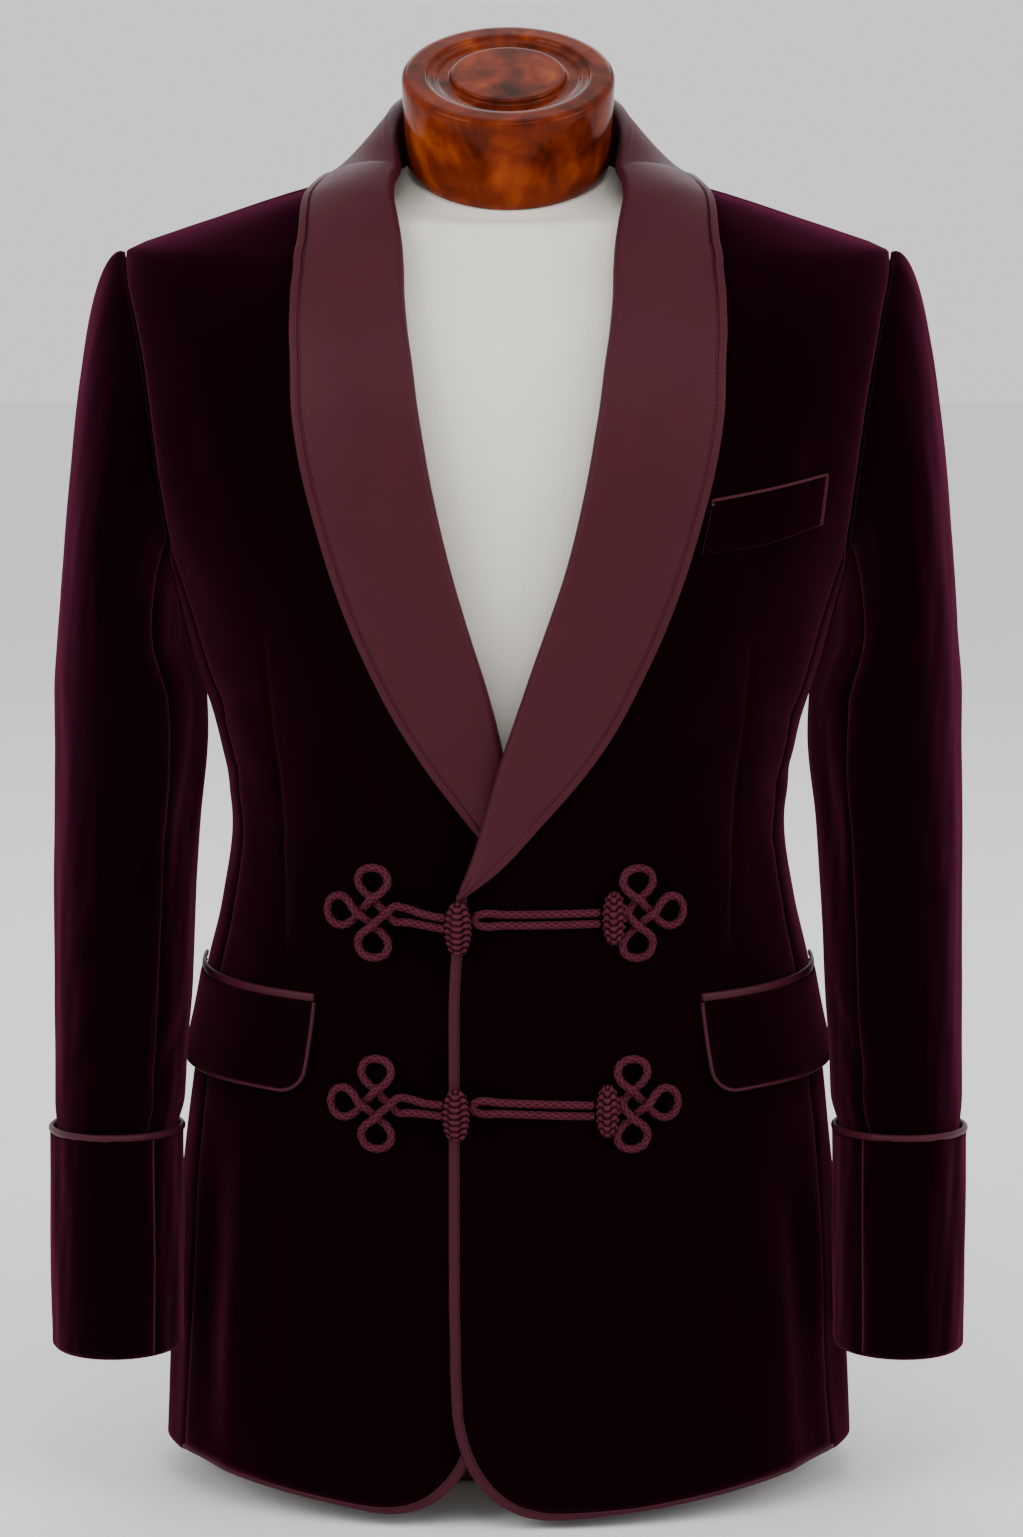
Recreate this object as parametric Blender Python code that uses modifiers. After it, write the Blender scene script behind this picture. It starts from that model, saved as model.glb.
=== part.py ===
"""Velvet smoking jacket with a satin shawl collar and two rows of frogs, on a limbless dress form.

Metres, +Z up. The jacket faces -Y and +X is the wearer's left. Z is measured from the surface on
which the form stands. The left front laps over the right one.
"""
import math

import bmesh
import bpy
import numpy as np

# Cloth and seams
GAP = 0.0003  # between pieces that meet
LAID_ON = 0.0012  # under a piece that lies on a curved panel
SNUG = 0.0006  # under a short piece on a flatter place
VELVET = 0.0020  # velvet with its canvas
SATIN = 0.0016  # collar satin with its undercollar
SLEEVE_WALL = 0.0018
LEFT = 1
RIGHT = -1

# Body of the jacket, a row for each level of its outer cloth
# columns: height, half width, front depth, back depth, power of the outline
BODY = (
    (0.000, 0.2050, 0.1500, 0.1450, 2.30),
    (0.055, 0.2003, 0.1480, 0.1435, 2.30),
    (0.130, 0.1965, 0.1440, 0.1400, 2.30),
    (0.180, 0.1932, 0.1415, 0.1375, 2.30),
    (0.250, 0.1855, 0.1380, 0.1340, 2.30),
    (0.300, 0.1790, 0.1340, 0.1270, 2.25),
    (0.345, 0.1690, 0.1305, 0.1180, 2.20),
    (0.392, 0.1625, 0.1290, 0.1130, 2.15),
    (0.440, 0.1693, 0.1310, 0.1155, 2.15),
    (0.490, 0.1840, 0.1360, 0.1210, 2.20),
    (0.520, 0.1915, 0.1390, 0.1250, 2.30),
    (0.560, 0.2030, 0.1400, 0.1290, 2.45),
    (0.600, 0.2130, 0.1390, 0.1320, 2.55),
    (0.640, 0.2200, 0.1340, 0.1320, 2.60),
    (0.680, 0.2235, 0.1200, 0.1240, 2.50),
    (0.705, 0.2240, 0.1050, 0.1140, 2.35),
    (0.7245, 0.2220, 0.0900, 0.1030, 2.10),
    (0.734, 0.2000, 0.0840, 0.0970, 1.95),
    (0.7426, 0.1742, 0.0790, 0.0910, 1.90),
    (0.756, 0.1335, 0.0720, 0.0830, 1.85),
    (0.766, 0.0995, 0.0680, 0.0765, 1.90),
    (0.776, 0.0755, 0.0640, 0.0700, 2.00),
    (0.790, 0.0700, 0.0630, 0.0720, 2.00),
    (0.805, 0.0672, 0.0620, 0.0740, 2.00),
    (0.825, 0.0645, 0.0620, 0.0750, 2.00),
)

# Largest soft folds of the body, the same on both sides
# columns: degrees from the front centre, low end, high end, half width in degrees, depth
BODY_FOLDS = (
    (66.0, -0.050, 0.230, 7.0, 0.0035),
    (84.0, -0.040, 0.200, 8.0, -0.0030),
    (112.0, -0.050, 0.260, 9.0, 0.0040),
    (150.0, -0.060, 0.240, 10.0, 0.0030),
)

# Hem and front corners
HEM_FRONT = 0.0105
HEM_SIDE = 0.0252
HEM_RISE_FROM = math.radians(15)
HEM_RISE_TO = math.radians(75)
CORNER_ANGLE = 0.413
CORNER_HEIGHT = 0.085
CORNER_POWER = 2.5
HEM_BLEND = 0.130  # above this level the rows of a panel are level

# Armhole, an egg round the side of the body between the shoulder tip and the armpit
SHOULDER_TIP = 0.7245
NECK_SEAM = 0.776
ARMHOLE_MID = 0.622
ARMHOLE_HALF = SHOULDER_TIP - ARMHOLE_MID
ARMHOLE_FRONT = 0.32
ARMHOLE_BACK = 0.36
SEAM_TOP = 0.560
FRONT_SEAM_HEM = math.radians(73)
BACK_SEAM_HEM = math.radians(113)

# Levels at which the panels have a row of points
LOW_ROWS = (0.0, 0.030, 0.065, 0.100, 0.130, 0.185, 0.250, 0.310)
MIDDLE_ROWS = (0.3686, 0.415, 0.444, 0.471, 0.500, 0.5275, SEAM_TOP)
ARMHOLE_ROWS = (0.596, 0.632, 0.668, 0.698, 0.716)
TOP_ROWS = (SHOULDER_TIP, 0.735, 0.748, 0.762, NECK_SEAM)
FRONT_COLUMNS = (0.0, 0.02, 0.05, 0.10, 0.17, 0.26, 0.38, 0.52, 0.67, 0.82, 0.92, 1.0)

# Cloth edge of each front below the collar, from the centre toward its own side
# columns: height, sideways place
LEFT_EDGE = ((0.000, -0.0275), (0.300, -0.0275), (0.372, -0.0228))
RIGHT_EDGE = ((0.000, 0.0200), (0.180, 0.0185), (0.300, 0.0060), (0.372, -0.0060))
BREAK = 0.372
LAP_DEPTH = 0.0028  # the right front lies this far under the left one
LAP_DEPTH_COLLAR = 0.0103  # and this far where both collars lie between them
LAP_EASE = 0.045

# Front edging in satin
EDGING = 0.0070
EDGING_HEM = 0.0034
EDGING_CROWN = 0.0005

# Collar: where its roll line and its outer edge run, from the tip up to the neck
# columns: roll sideways, roll height, edge sideways, edge height
LEFT_TIP = (
    (-0.0245, 0.3752, -0.0150, 0.3700),
    (-0.0199, 0.3900, -0.0036, 0.3840),
    (-0.0126, 0.4150, 0.0155, 0.4060),
    (-0.0045, 0.4440, 0.0380, 0.4312),
    (0.0048, 0.4710, 0.0560, 0.4556),
    (0.0142, 0.5000, 0.0702, 0.4816),
    (0.0238, 0.5275, 0.0827, 0.5085),
)
RIGHT_TIP = (
    (-0.0085, 0.3860, 0.0030, 0.3850),
    (-0.0060, 0.4010, 0.0135, 0.3965),
    (-0.0020, 0.4200, 0.0270, 0.4130),
    (0.0032, 0.4440, 0.0410, 0.4340),
    (0.0088, 0.4710, 0.0565, 0.4575),
    (0.0166, 0.5000, 0.0702, 0.4816),
    (0.0252, 0.5275, 0.0827, 0.5085),
)
LAPEL = (
    (0.0340, 0.5580, 0.0948, 0.5378),
    (0.0430, 0.5960, 0.1090, 0.5835),
    (0.0500, 0.6350, 0.1187, 0.6250),
    (0.0548, 0.6700, 0.1226, 0.6625),
    (0.0580, 0.7050, 0.1222, 0.7010),
    (0.0610, 0.7400, 0.1183, 0.7380),
)
# columns: roll angle in degrees, roll height, edge angle, edge height
NECK = (
    (45.5, 0.7530, 69.5, 0.7510),
    (52.6, 0.7650, 79.0, 0.7615),
    (62.5, 0.7765, 89.5, 0.7640),
    (73.0, 0.7870, 100.0, 0.7640),
    (95.0, 0.8030, 118.0, 0.7615),
    (118.0, 0.8110, 136.0, 0.7605),
    (140.0, 0.8170, 152.0, 0.7620),
    (160.0, 0.8200, 166.0, 0.7645),
    (179.75, 0.8210, 179.75, 0.7655),
)
LAPEL_INNER_SHARE = 0.30
UNDER_CLOTH = 0.0013  # from the panel to the inner leaf
OVER_CLOTH = 0.0017  # and to the outer leaf
UNDERLAP_EASE = 0.0009  # more on the right, where the front bends down under the left one
ROLL_INSET = 0.0034  # from the roll line to where the two leaves run level
COLLAR_EDGING = 0.0045
FALL_LIFT = 0.0034
FALL_BULGE = 0.0080

# Sleeve below the armhole, a row for each level of its outer cloth
# columns: height, centre sideways, centre in depth, half width, half depth, slope of the level
SLEEVE = (
    (0.0960, 0.2283, -0.0790, 0.0339, 0.0540, 0.110),
    (0.150, 0.2284, -0.0745, 0.0344, 0.0545, 0.110),
    (0.216, 0.2286, -0.0650, 0.0346, 0.0555, 0.105),
    (0.236, 0.2271, -0.0570, 0.0380, 0.0585, 0.095),
    (0.262, 0.2268, -0.0460, 0.0387, 0.0610, 0.080),
    (0.294, 0.2262, -0.0340, 0.0402, 0.0650, 0.060),
    (0.340, 0.2254, -0.0220, 0.0413, 0.0695, 0.040),
    (0.390, 0.2239, -0.0120, 0.0427, 0.0740, 0.020),
    (0.440, 0.2216, -0.0050, 0.0446, 0.0790, 0.000),
    (0.468, 0.2222, -0.0030, 0.0440, 0.0832, 0.000),
    (0.500, 0.2262, 0.0000, 0.0378, 0.0880, 0.000),
)
SLEEVE_TOP = 0.500
CAP_ROWS = (0.0, 0.14, 0.32, 0.52, 0.76)
ARM_ROWS = (0.500, 0.465, 0.430, 0.390, 0.340, 0.294, 0.262, 0.236, 0.216, 0.150, 0.096)
INSEAM = math.radians(128)
HINDARM = math.radians(246)
# columns: degrees round from the outer side by the front, low end, high end, half width, depth
SLEEVE_FOLDS = (
    (150.0, 0.340, 0.480, 22.0, 0.0035),
    (108.0, 0.200, 0.420, 12.0, 0.0025),
    (215.0, 0.300, 0.460, 20.0, 0.0030),
    (300.0, 0.260, 0.420, 16.0, 0.0025),
    (20.0, 0.220, 0.440, 14.0, 0.0015),
)

# Turn-back cuff, folded up over the end of the sleeve
CUFF_TOP = 0.218
CUFF_BOTTOM = 0.0955
CUFF_STANDOFF = 0.0032
CUFF_WALL = 0.0018
CUFF_LIP = 0.018
CUFF_PIPING = 0.0022

# Hip pocket: jet, flap and the piping on the flap
FLAP_TOP = 0.3032
FLAP_BOTTOM = 0.2528
FLAP_FROM = math.radians(45.2)
FLAP_TO = math.radians(94)
FLAP_CORNER = math.radians(5.0)
FLAP_CORNER_HEIGHT = 0.014
FLAP_COLUMNS = (0.0, 0.035, 0.09, 0.20, 0.36, 0.55, 0.75, 0.90, 1.0)
FLAP_ROWS = 3
FLAP_LIFT = 0.0035  # how far its lower edge hangs off the skirt
FLAP_PIPING = 0.0027
JET = 0.0048
JET_WALL = 0.0016

# Breast pocket welt, on the wearer's left
# columns: share along it, sideways place, lower edge, upper edge
WELT = (
    (0.00, 0.1118, 0.5640, 0.5936),
    (0.50, 0.1440, 0.5680, 0.5985),
    (1.00, 0.1780, 0.5765, 0.6045),
)
WELT_WALL = 0.0015
WELT_EDGE = 0.0016
WELT_COLUMNS = 5

# Frogs: places of the two rows, as (sideways, height)
# columns: toggle, knot, right-hand frog, left-hand frog
FROG_ROWS = (
    ((-0.0279, 0.3505), (0.0590, 0.3555), (-0.0758, 0.3575), (0.0727, 0.3575)),
    ((-0.0293, 0.2435), (0.0560, 0.2455), (-0.0744, 0.2485), (0.0701, 0.2485)),
)
CORD = 0.0023  # radius
CROSSING = 0.0050  # how far one cord is lifted over another
PAIR_RISE = 0.0048  # of the double cord's turn over the middle of its toggle
TOGGLE_HALF = (0.0080, 0.0052, 0.0155)
KNOT_HALF = (0.0070, 0.0050, 0.0155)
TOGGLE_LIFT = 0.0009
PAIR = 0.0031  # half the spacing of the double cord
# One loop of a frog, its axis running out from the middle
# columns: along the axis, across it, share of the crossing's rise
LOOP = (
    (0.0036, -0.0036, 0.45),
    (0.0078, 0.0000, 0.00),
    (0.0122, 0.0056, 0.00),
    (0.0175, 0.0084, 0.00),
    (0.0230, 0.0068, 0.00),
    (0.0258, 0.0000, 0.00),
    (0.0230, -0.0068, 0.00),
    (0.0175, -0.0084, 0.15),
    (0.0122, -0.0056, 0.70),
    (0.0078, 0.0000, 1.00),
)

# Dress form under the jacket, a row for each level
# columns: height, centre in depth, half width, front depth, back depth, power, slope of the level
FORM = (
    (0.060, 0.000, 0.1480, 0.0920, 0.0980, 2.20, 0.00),
    (0.075, 0.000, 0.1580, 0.1000, 0.1040, 2.25, 0.00),
    (0.150, 0.000, 0.1680, 0.1080, 0.1080, 2.30, 0.00),
    (0.250, 0.000, 0.1660, 0.1080, 0.1060, 2.30, 0.00),
    (0.340, 0.000, 0.1520, 0.1040, 0.0970, 2.20, 0.00),
    (0.392, 0.000, 0.1475, 0.1025, 0.0930, 2.15, 0.00),
    (0.440, 0.000, 0.1520, 0.1060, 0.0970, 2.15, 0.00),
    (0.520, 0.000, 0.1700, 0.1180, 0.1080, 2.25, 0.00),
    (0.600, 0.000, 0.1820, 0.1210, 0.1180, 2.45, 0.00),
    (0.640, 0.000, 0.1860, 0.1170, 0.1180, 2.50, 0.00),
    (0.680, 0.000, 0.1880, 0.1040, 0.1105, 2.40, 0.00),
    (0.705, 0.000, 0.1875, 0.0895, 0.1005, 2.25, 0.00),
    (0.7245, 0.000, 0.1850, 0.0745, 0.0895, 2.05, 0.00),
    (0.734, 0.000, 0.1820, 0.0700, 0.0840, 1.95, 0.00),
    (0.7426, 0.000, 0.1660, 0.0665, 0.0785, 1.90, 0.00),
    (0.748, 0.000, 0.1440, 0.0640, 0.0740, 1.90, 0.04),
    (0.757, 0.000, 0.0940, 0.0600, 0.0560, 1.95, 0.18),
    (0.766, 0.002, 0.0600, 0.0550, 0.0540, 2.00, 0.35),
    (0.7754, 0.003, 0.0545, 0.0532, 0.0520, 2.00, 0.4578),
)
FORM_STEPS = 24
FOOT_HALF = (0.130, 0.079)
FOOT_CENTRE = 0.021
FOOT_HEIGHT = 0.060
FOOT_STEPS = 28

# Turned neck block, leaning forward; its axis runs from the middle of its underside
BLOCK_LEAN = math.radians(24.6)
BLOCK_FOOT = (0.0, 0.0029, 0.7758)
BLOCK_STEPS = 28
# columns: radius, height up the axis, from the top's middle down the outside to the bottom
BLOCK_PROFILE = (
    (0.0000, 0.0576),
    (0.0300, 0.0576),
    (0.0335, 0.0546),
    (0.0430, 0.0546),
    (0.0465, 0.0576),
    (0.0560, 0.0576),
    (0.0602, 0.0556),
    (0.0612, 0.0520),
    (0.0600, 0.0250),
    (0.0590, 0.0000),
    (0.0000, 0.0000),
)

PROBE = 1e-4  # step with which a surface's slope is felt


for leftover in list(bpy.data.objects):
    bpy.data.objects.remove(leftover, do_unlink=True)

COLLECTION = bpy.data.collections.new("smoking_jacket")
bpy.context.scene.collection.children.link(COLLECTION)


# Reading tables

def curve_through(table):
    """Reads a table at any value of its first column, smoothly and never swinging past its rows."""
    rows = np.array(table, float)
    keys = rows[:, 0]
    rises = np.diff(rows, axis=0) / np.diff(keys)[:, None]
    before, after = rises[:-1], rises[1:]
    total = np.where(before + after == 0, 1, before + after)
    slopes = np.zeros_like(rows)
    slopes[1:-1] = np.where(before * after > 0, 2 * before * after / total, 0)
    slopes[0], slopes[-1] = rises[0], rises[-1]

    def read(key):
        i = int(np.clip(np.searchsorted(keys, key) - 1, 0, len(keys) - 2))
        step = keys[i + 1] - keys[i]
        w = min(max((key - keys[i]) / step, 0.0), 1.0)
        low = (1 + 2 * w) * (1 - w) ** 2 * rows[i] + w * (1 - w) ** 2 * step * slopes[i]
        high = w * w * (3 - 2 * w) * rows[i + 1] + w * w * (w - 1) * step * slopes[i + 1]
        return (low + high)[1:]

    return read


def eased(value):
    """0 up to value 0, 1 from value 1, smooth between."""
    w = min(max(value, 0.0), 1.0)
    return w * w * (3 - 2 * w)


def unit(vector):
    return vector / np.linalg.norm(vector)


def between(a, b, w):
    return a + (b - a) * w


def fold_depth(folds, degrees, z):
    """How far the folds of a table draw the cloth in at an angle and a height."""
    depth = 0.0
    for middle, low, high, half, most in folds:
        off = abs(degrees - middle) / half
        along = 2 * (z - low) / (high - low) - 1
        if off < 1 and abs(along) < 1:
            depth += most * (1 - off * off) ** 2 * (1 - along * along) ** 2
    return depth


# The body's outer surface

body_at = curve_through(BODY)


def bare_body(u, z):
    half, front, back, power = body_at(z)
    depth = front if math.cos(u) > 0 else back
    sides = (abs(math.sin(u)) / half) ** power + (abs(math.cos(u)) / depth) ** power
    radius = sides ** (-1 / power) - fold_depth(BODY_FOLDS, abs(math.degrees(u)), z)
    return np.array((radius * math.sin(u), -radius * math.cos(u), z))


def body(u, z, lift=0.0):
    """Point of the outer cloth at angle u from the front centre toward +X, moved out by lift."""
    point = bare_body(u, z)
    if lift:
        across = bare_body(u + PROBE, z) - bare_body(u - PROBE, z)
        up = bare_body(u, z + PROBE) - bare_body(u, z - PROBE)
        point = point + lift * unit(np.cross(across, up))
    return point


def angle_at(x, z):
    """Angle at which the front of the body has the sideways place x."""
    half, front, _, power = body_at(z)
    return math.atan2(x, front * max(0.0, 1 - (abs(x) / half) ** power) ** (1 / power))


def roll_table(tip):
    """The roll line as angle by height, up to the neck."""
    rows = [(z, angle_at(x, z)) for x, z, _, _ in tip + LAPEL]
    return rows + [(z, math.radians(degrees)) for degrees, z, *_ in NECK[:4]]


ROLL = {LEFT: curve_through(roll_table(LEFT_TIP)), RIGHT: curve_through(roll_table(RIGHT_TIP))}
EDGE = {LEFT: curve_through(LEFT_EDGE), RIGHT: curve_through(RIGHT_EDGE)}


def front_edge(side, z):
    """Angle of a front's cloth edge at a height, inside the collar's roll above the break."""
    low = angle_at(float(EDGE[side](z)[0]), z)
    if z < BREAK:
        return low
    inset = between(0.0040, 0.0055, eased((z - 0.70) / 0.05))
    high = float(ROLL[side](z)[0]) + inset / np.linalg.norm(bare_body(0.5, z)[:2])
    return between(low, high, eased((z - BREAK) / 0.012))


def lap(x, z):
    """How far the right front lies under the left one, at x toward its own side."""
    over_edge = -float(bare_body(front_edge(LEFT, z), z)[0])
    if z < BREAK:
        over_edge += EDGING
    depth = between(LAP_DEPTH, LAP_DEPTH_COLLAR, eased((z - 0.31) / 0.05))
    return -depth * (1 - eased((x - over_edge - 0.001) / LAP_EASE))


def skin(side, u, z, lift=0.0):
    """Point of one half of the jacket, its angle counted toward that half's own side."""
    if side == RIGHT and abs(u) < 1.0:
        lift = lift + lap(float(bare_body(u, z)[0]), z)
    return body(u, z, lift) * np.array((side, 1, 1))


def hem(u):
    rise = eased((abs(u) - HEM_RISE_FROM) / (HEM_RISE_TO - HEM_RISE_FROM))
    return between(HEM_FRONT, HEM_SIDE, rise)


def level(z, bottom):
    """Height of a row: it follows the panel's bottom edge low down and is level higher up."""
    if z >= HEM_BLEND:
        return z
    return between(bottom, HEM_BLEND, z / HEM_BLEND)


def armhole_reach(z, widest):
    rise = (z - ARMHOLE_MID) / ARMHOLE_HALF
    return widest * max(0.0, 1 - rise * rise) ** (0.8 if rise > 0 else 0.5)


def outer_edge(z, widest, hem_angle, direction):
    """Angle where a front (direction -1) or a back (+1) ends: at its seam, armhole or shoulder."""
    side = math.pi / 2
    if z >= SHOULDER_TIP:
        return side
    if z >= SEAM_TOP:
        return side + direction * armhole_reach(z, widest)
    top = side + direction * armhole_reach(SEAM_TOP, widest)
    return between(hem_angle, top, z / SEAM_TOP)


# Making solids

def finish_of(name, colour, roughness, metallic=0.0):
    material = bpy.data.materials.new(name)
    material.use_nodes = True
    shader = material.node_tree.nodes["Principled BSDF"]
    shader.inputs["Base Color"].default_value = (*colour, 1)
    shader.inputs["Roughness"].default_value = roughness
    shader.inputs["Metallic"].default_value = metallic
    material.diffuse_color = (*colour, 1)
    return material


VELVET_CLOTH = finish_of("aubergine_velvet", (0.030, 0.006, 0.020), 0.75)
SATIN_CLOTH = finish_of("burgundy_satin", (0.085, 0.020, 0.034), 0.38)
SILK_CORD = finish_of("silk_cord", (0.110, 0.025, 0.040), 0.55)
JERSEY = finish_of("form_cover", (0.780, 0.750, 0.690), 0.90)
BURL = finish_of("burl_wood", (0.300, 0.070, 0.015), 0.18)
DARK_WOOD = finish_of("foot_wood", (0.060, 0.025, 0.012), 0.40)


def add_object(name, data, material):
    thing = bpy.data.objects.new(name, data)
    data.materials.append(material)
    COLLECTION.objects.link(thing)
    return thing


def grid(columns, rows):
    """A flat grid, with each vertex's column and row."""
    bm = bmesh.new()
    bmesh.ops.create_grid(bm, x_segments=columns, y_segments=rows, size=1)
    return bm


def knots(vertices, columns, rows):
    found = []
    for vertex in vertices:
        column = round((vertex.co.x + 1) / 2 * columns)
        row = round((vertex.co.y + 1) / 2 * rows)
        found.append((vertex, column, row))
    return found


def finish_mesh(bm, name, material):
    bmesh.ops.recalc_face_normals(bm, faces=bm.faces)
    if bm.calc_volume(signed=True) < 0:
        bmesh.ops.reverse_faces(bm, faces=bm.faces)
    mesh = bpy.data.meshes.new(name)
    bm.to_mesh(mesh)
    bm.free()
    mesh.shade_smooth()
    mesh.set_sharp_from_angle(angle=math.radians(50))
    return add_object(name, mesh, material)


def wall(name, columns, rows, outer, inner, material):
    """A piece of cloth as a closed wall; outer and inner place its faces at (column, row)."""
    bm = grid(columns, rows)
    outside = knots(bm.verts, columns, rows)
    made = bmesh.ops.extrude_face_region(bm, geom=bm.faces[:])["geom"]
    inside = knots([v for v in made if isinstance(v, bmesh.types.BMVert)], columns, rows)
    for vertex, column, row in outside:
        vertex.co = outer(column, row)
    for vertex, column, row in inside:
        vertex.co = inner(column, row)
    return finish_mesh(bm, name, material)


def shell(name, columns, rows, place, thickness, material):
    """A piece of cloth as an open surface with a thickness laid equally on both sides."""
    bm = grid(columns, rows)
    for vertex, column, row in knots(bm.verts, columns, rows):
        vertex.co = place(column, row)
    made = finish_mesh(bm, name, material)
    solidify = made.modifiers.new("thickness", "SOLIDIFY")
    solidify.thickness = thickness
    solidify.offset = 0
    solidify.use_even_offset = True
    return made


def cord(name, points, radius, material, closed=False):
    curve = bpy.data.curves.new(name, "CURVE")
    curve.dimensions = "3D"
    curve.bevel_depth = radius
    curve.bevel_resolution = 1
    curve.use_fill_caps = not closed
    spline = curve.splines.new("POLY")
    spline.points.add(len(points) - 1)
    for spot, place in zip(spline.points, points):
        spot.co = (*place, 1)
    spline.use_cyclic_u = closed
    return add_object(name, curve, material)


def strip(name, rims, across, widths, thickness, material):
    """A narrow wall along a rim. rims holds (point, direction outward along the cloth, normal)."""
    crown = (0.0, EDGING_CROWN, -0.25 * thickness)
    floor = (-thickness, -thickness, -0.75 * thickness)

    def face(lifts):
        def place(column, row):
            point, outward, normal = rims[row]
            reach = GAP + widths[row] * column / across
            return point + outward * reach + normal * lifts[column]
        return place

    return wall(name, across, len(rims) - 1, face(crown), face(floor), material)


def rims_along(points, lifted, turn):
    """(point, outward, normal) at each point of a rim, from the same rim lifted off the cloth."""
    found = []
    for i, point in enumerate(points):
        along = points[min(i + 1, len(points) - 1)] - points[max(i - 1, 0)]
        normal = unit(lifted[i] - point)
        found.append((point, turn * unit(np.cross(along, normal)), normal))
    return found


# Fronts, side panels and backs

FRONT_LEVELS = LOW_ROWS + MIDDLE_ROWS + ARMHOLE_ROWS + TOP_ROWS
SIDE_COLUMNS = 6
SIDE_RISE_FROM = 0.415  # above this level the side panel's rows rise toward the armhole
SIDE_LEVELS = LOW_ROWS + MIDDLE_ROWS
BACK_COLUMNS = 8


def front_knot(side, column, row):
    """Angle and height of a front's point."""
    z = FRONT_LEVELS[row]
    share = FRONT_COLUMNS[column]
    seam = outer_edge(z, ARMHOLE_FRONT, FRONT_SEAM_HEM, -1) - seam_slack(z)
    edge = front_edge(side, max(z, HEM_SIDE))
    u = between(edge, seam, share)
    if z < HEM_BLEND:
        away = 1 - min(1.0, (u - edge) / CORNER_ANGLE)
        lift = CORNER_HEIGHT * (1 - (1 - away ** CORNER_POWER) ** (1 / CORNER_POWER))
        z = level(z, hem(u) + lift)
    return u, z


def seam_slack(z):
    """Half the seam gap, as an angle."""
    return GAP / 2 / float(body_at(min(z, NECK_SEAM))[0])


def front(side, name):
    def face(lift):
        return lambda column, row: skin(side, *front_knot(side, column, row), lift)

    wall(name, len(FRONT_COLUMNS) - 1, len(FRONT_LEVELS) - 1, face(0.0), face(-VELVET), VELVET_CLOTH)


def side_knot(column, row):
    z = SIDE_LEVELS[row]
    low = outer_edge(min(z, SEAM_TOP), ARMHOLE_FRONT, FRONT_SEAM_HEM, -1) + seam_slack(z)
    high = outer_edge(min(z, SEAM_TOP), ARMHOLE_BACK, BACK_SEAM_HEM, 1) - seam_slack(z)
    share = column / SIDE_COLUMNS
    u = between(low, high, share)
    off = (u - math.pi / 2) / (ARMHOLE_FRONT if u < math.pi / 2 else ARMHOLE_BACK)
    top = ARMHOLE_MID - ARMHOLE_HALF * math.sqrt(max(0.0, 1 - off * off))
    if z > SIDE_RISE_FROM:
        z = top + (z - SEAM_TOP) * (top - SIDE_RISE_FROM) / (SEAM_TOP - SIDE_RISE_FROM)
    return u, level(z, HEM_SIDE - EDGING_HEM - GAP)


def side_panel(side, name):
    def face(lift):
        return lambda column, row: skin(side, *side_knot(column, row), lift)

    wall(name, SIDE_COLUMNS, len(SIDE_LEVELS) - 1, face(0.0), face(-VELVET), VELVET_CLOTH)


def back_knot(column, row):
    z = FRONT_LEVELS[row]
    low = outer_edge(z, ARMHOLE_BACK, BACK_SEAM_HEM, 1) + seam_slack(z)
    high = math.pi - GAP / 2 / float(body_at(z)[2])
    u = between(low, high, column / BACK_COLUMNS)
    return u, level(z, HEM_SIDE - EDGING_HEM - GAP)


def back(side, name):
    def face(lift):
        return lambda column, row: skin(side, *back_knot(column, row), lift)

    wall(name, BACK_COLUMNS, len(FRONT_LEVELS) - 1, face(0.0), face(-VELVET), VELVET_CLOTH)


def front_edging(side, name):
    """Satin edging from the break down the front's edge, round its corner and along the hem."""
    down = [(0, row) for row in range(FRONT_LEVELS.index(0.3686), 0, -1)]
    along = [(column, 0) for column in range(len(FRONT_COLUMNS))]
    places = [front_knot(side, *knot) for knot in down + along]
    points = [skin(side, u, z) for u, z in places]
    lifted = [skin(side, u, z, PROBE) for u, z in places]
    widths = [EDGING] * len(down)
    widths += [between(EDGING, EDGING_HEM, eased(2 * column / len(along))) for column, _ in along]
    strip(name, rims_along(points, lifted, side), 2, widths, VELVET, SATIN_CLOTH)


# Sleeves and cuffs

sleeve_at = curve_through(SLEEVE)


def armhole(phi, shrink=0.9945):
    """Angle and height of the sleeve's seam; phi runs from the shoulder tip round by the front."""
    rise = math.cos(phi)
    widest = ARMHOLE_FRONT if math.sin(phi) > 0 else -ARMHOLE_BACK
    reach = widest * (1 - rise * rise) ** (0.8 if rise > 0 else 0.5)
    return math.pi / 2 - shrink * reach, ARMHOLE_MID + shrink * ARMHOLE_HALF * rise


def sleeve_level(phi, z, off=0.0):
    """Point of the sleeve or cuff at a level, moved out by off."""
    x, y, half, depth, slope = sleeve_at(z)
    fold = fold_depth(SLEEVE_FOLDS, math.degrees(phi) % 360, z)
    across = (half + off - fold) * math.cos(phi)
    forward = (depth + off - fold) * math.sin(phi)
    return np.array((x + across, y - forward, z + slope * forward))


def sleeve(phi, v):
    """Point of the sleeve's outer cloth: v from 0 at the armhole to 1 at SLEEVE_TOP, then by level."""
    if v >= 1:
        return sleeve_level(phi, SLEEVE_TOP - (v - 1))
    start = bare_body(*armhole(phi))
    end = sleeve_level(phi, SLEEVE_TOP)
    span = np.linalg.norm(end - start)
    high = math.cos(phi / 2) ** 2
    leaving = unit(np.array((1.0, -0.75 * math.sin(phi), 0.40 - 0.80 * (1 - high))))
    leaving = leaving * (0.010 + 0.072 * high)
    hanging = (sleeve_level(phi, SLEEVE_TOP - 0.01) - end) / 0.01
    hanging = hanging * span
    return ((1 + 2 * v) * (1 - v) ** 2 * start + v * (1 - v) ** 2 * leaving
            + v * v * (3 - 2 * v) * end + v * v * (v - 1) * hanging)


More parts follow.
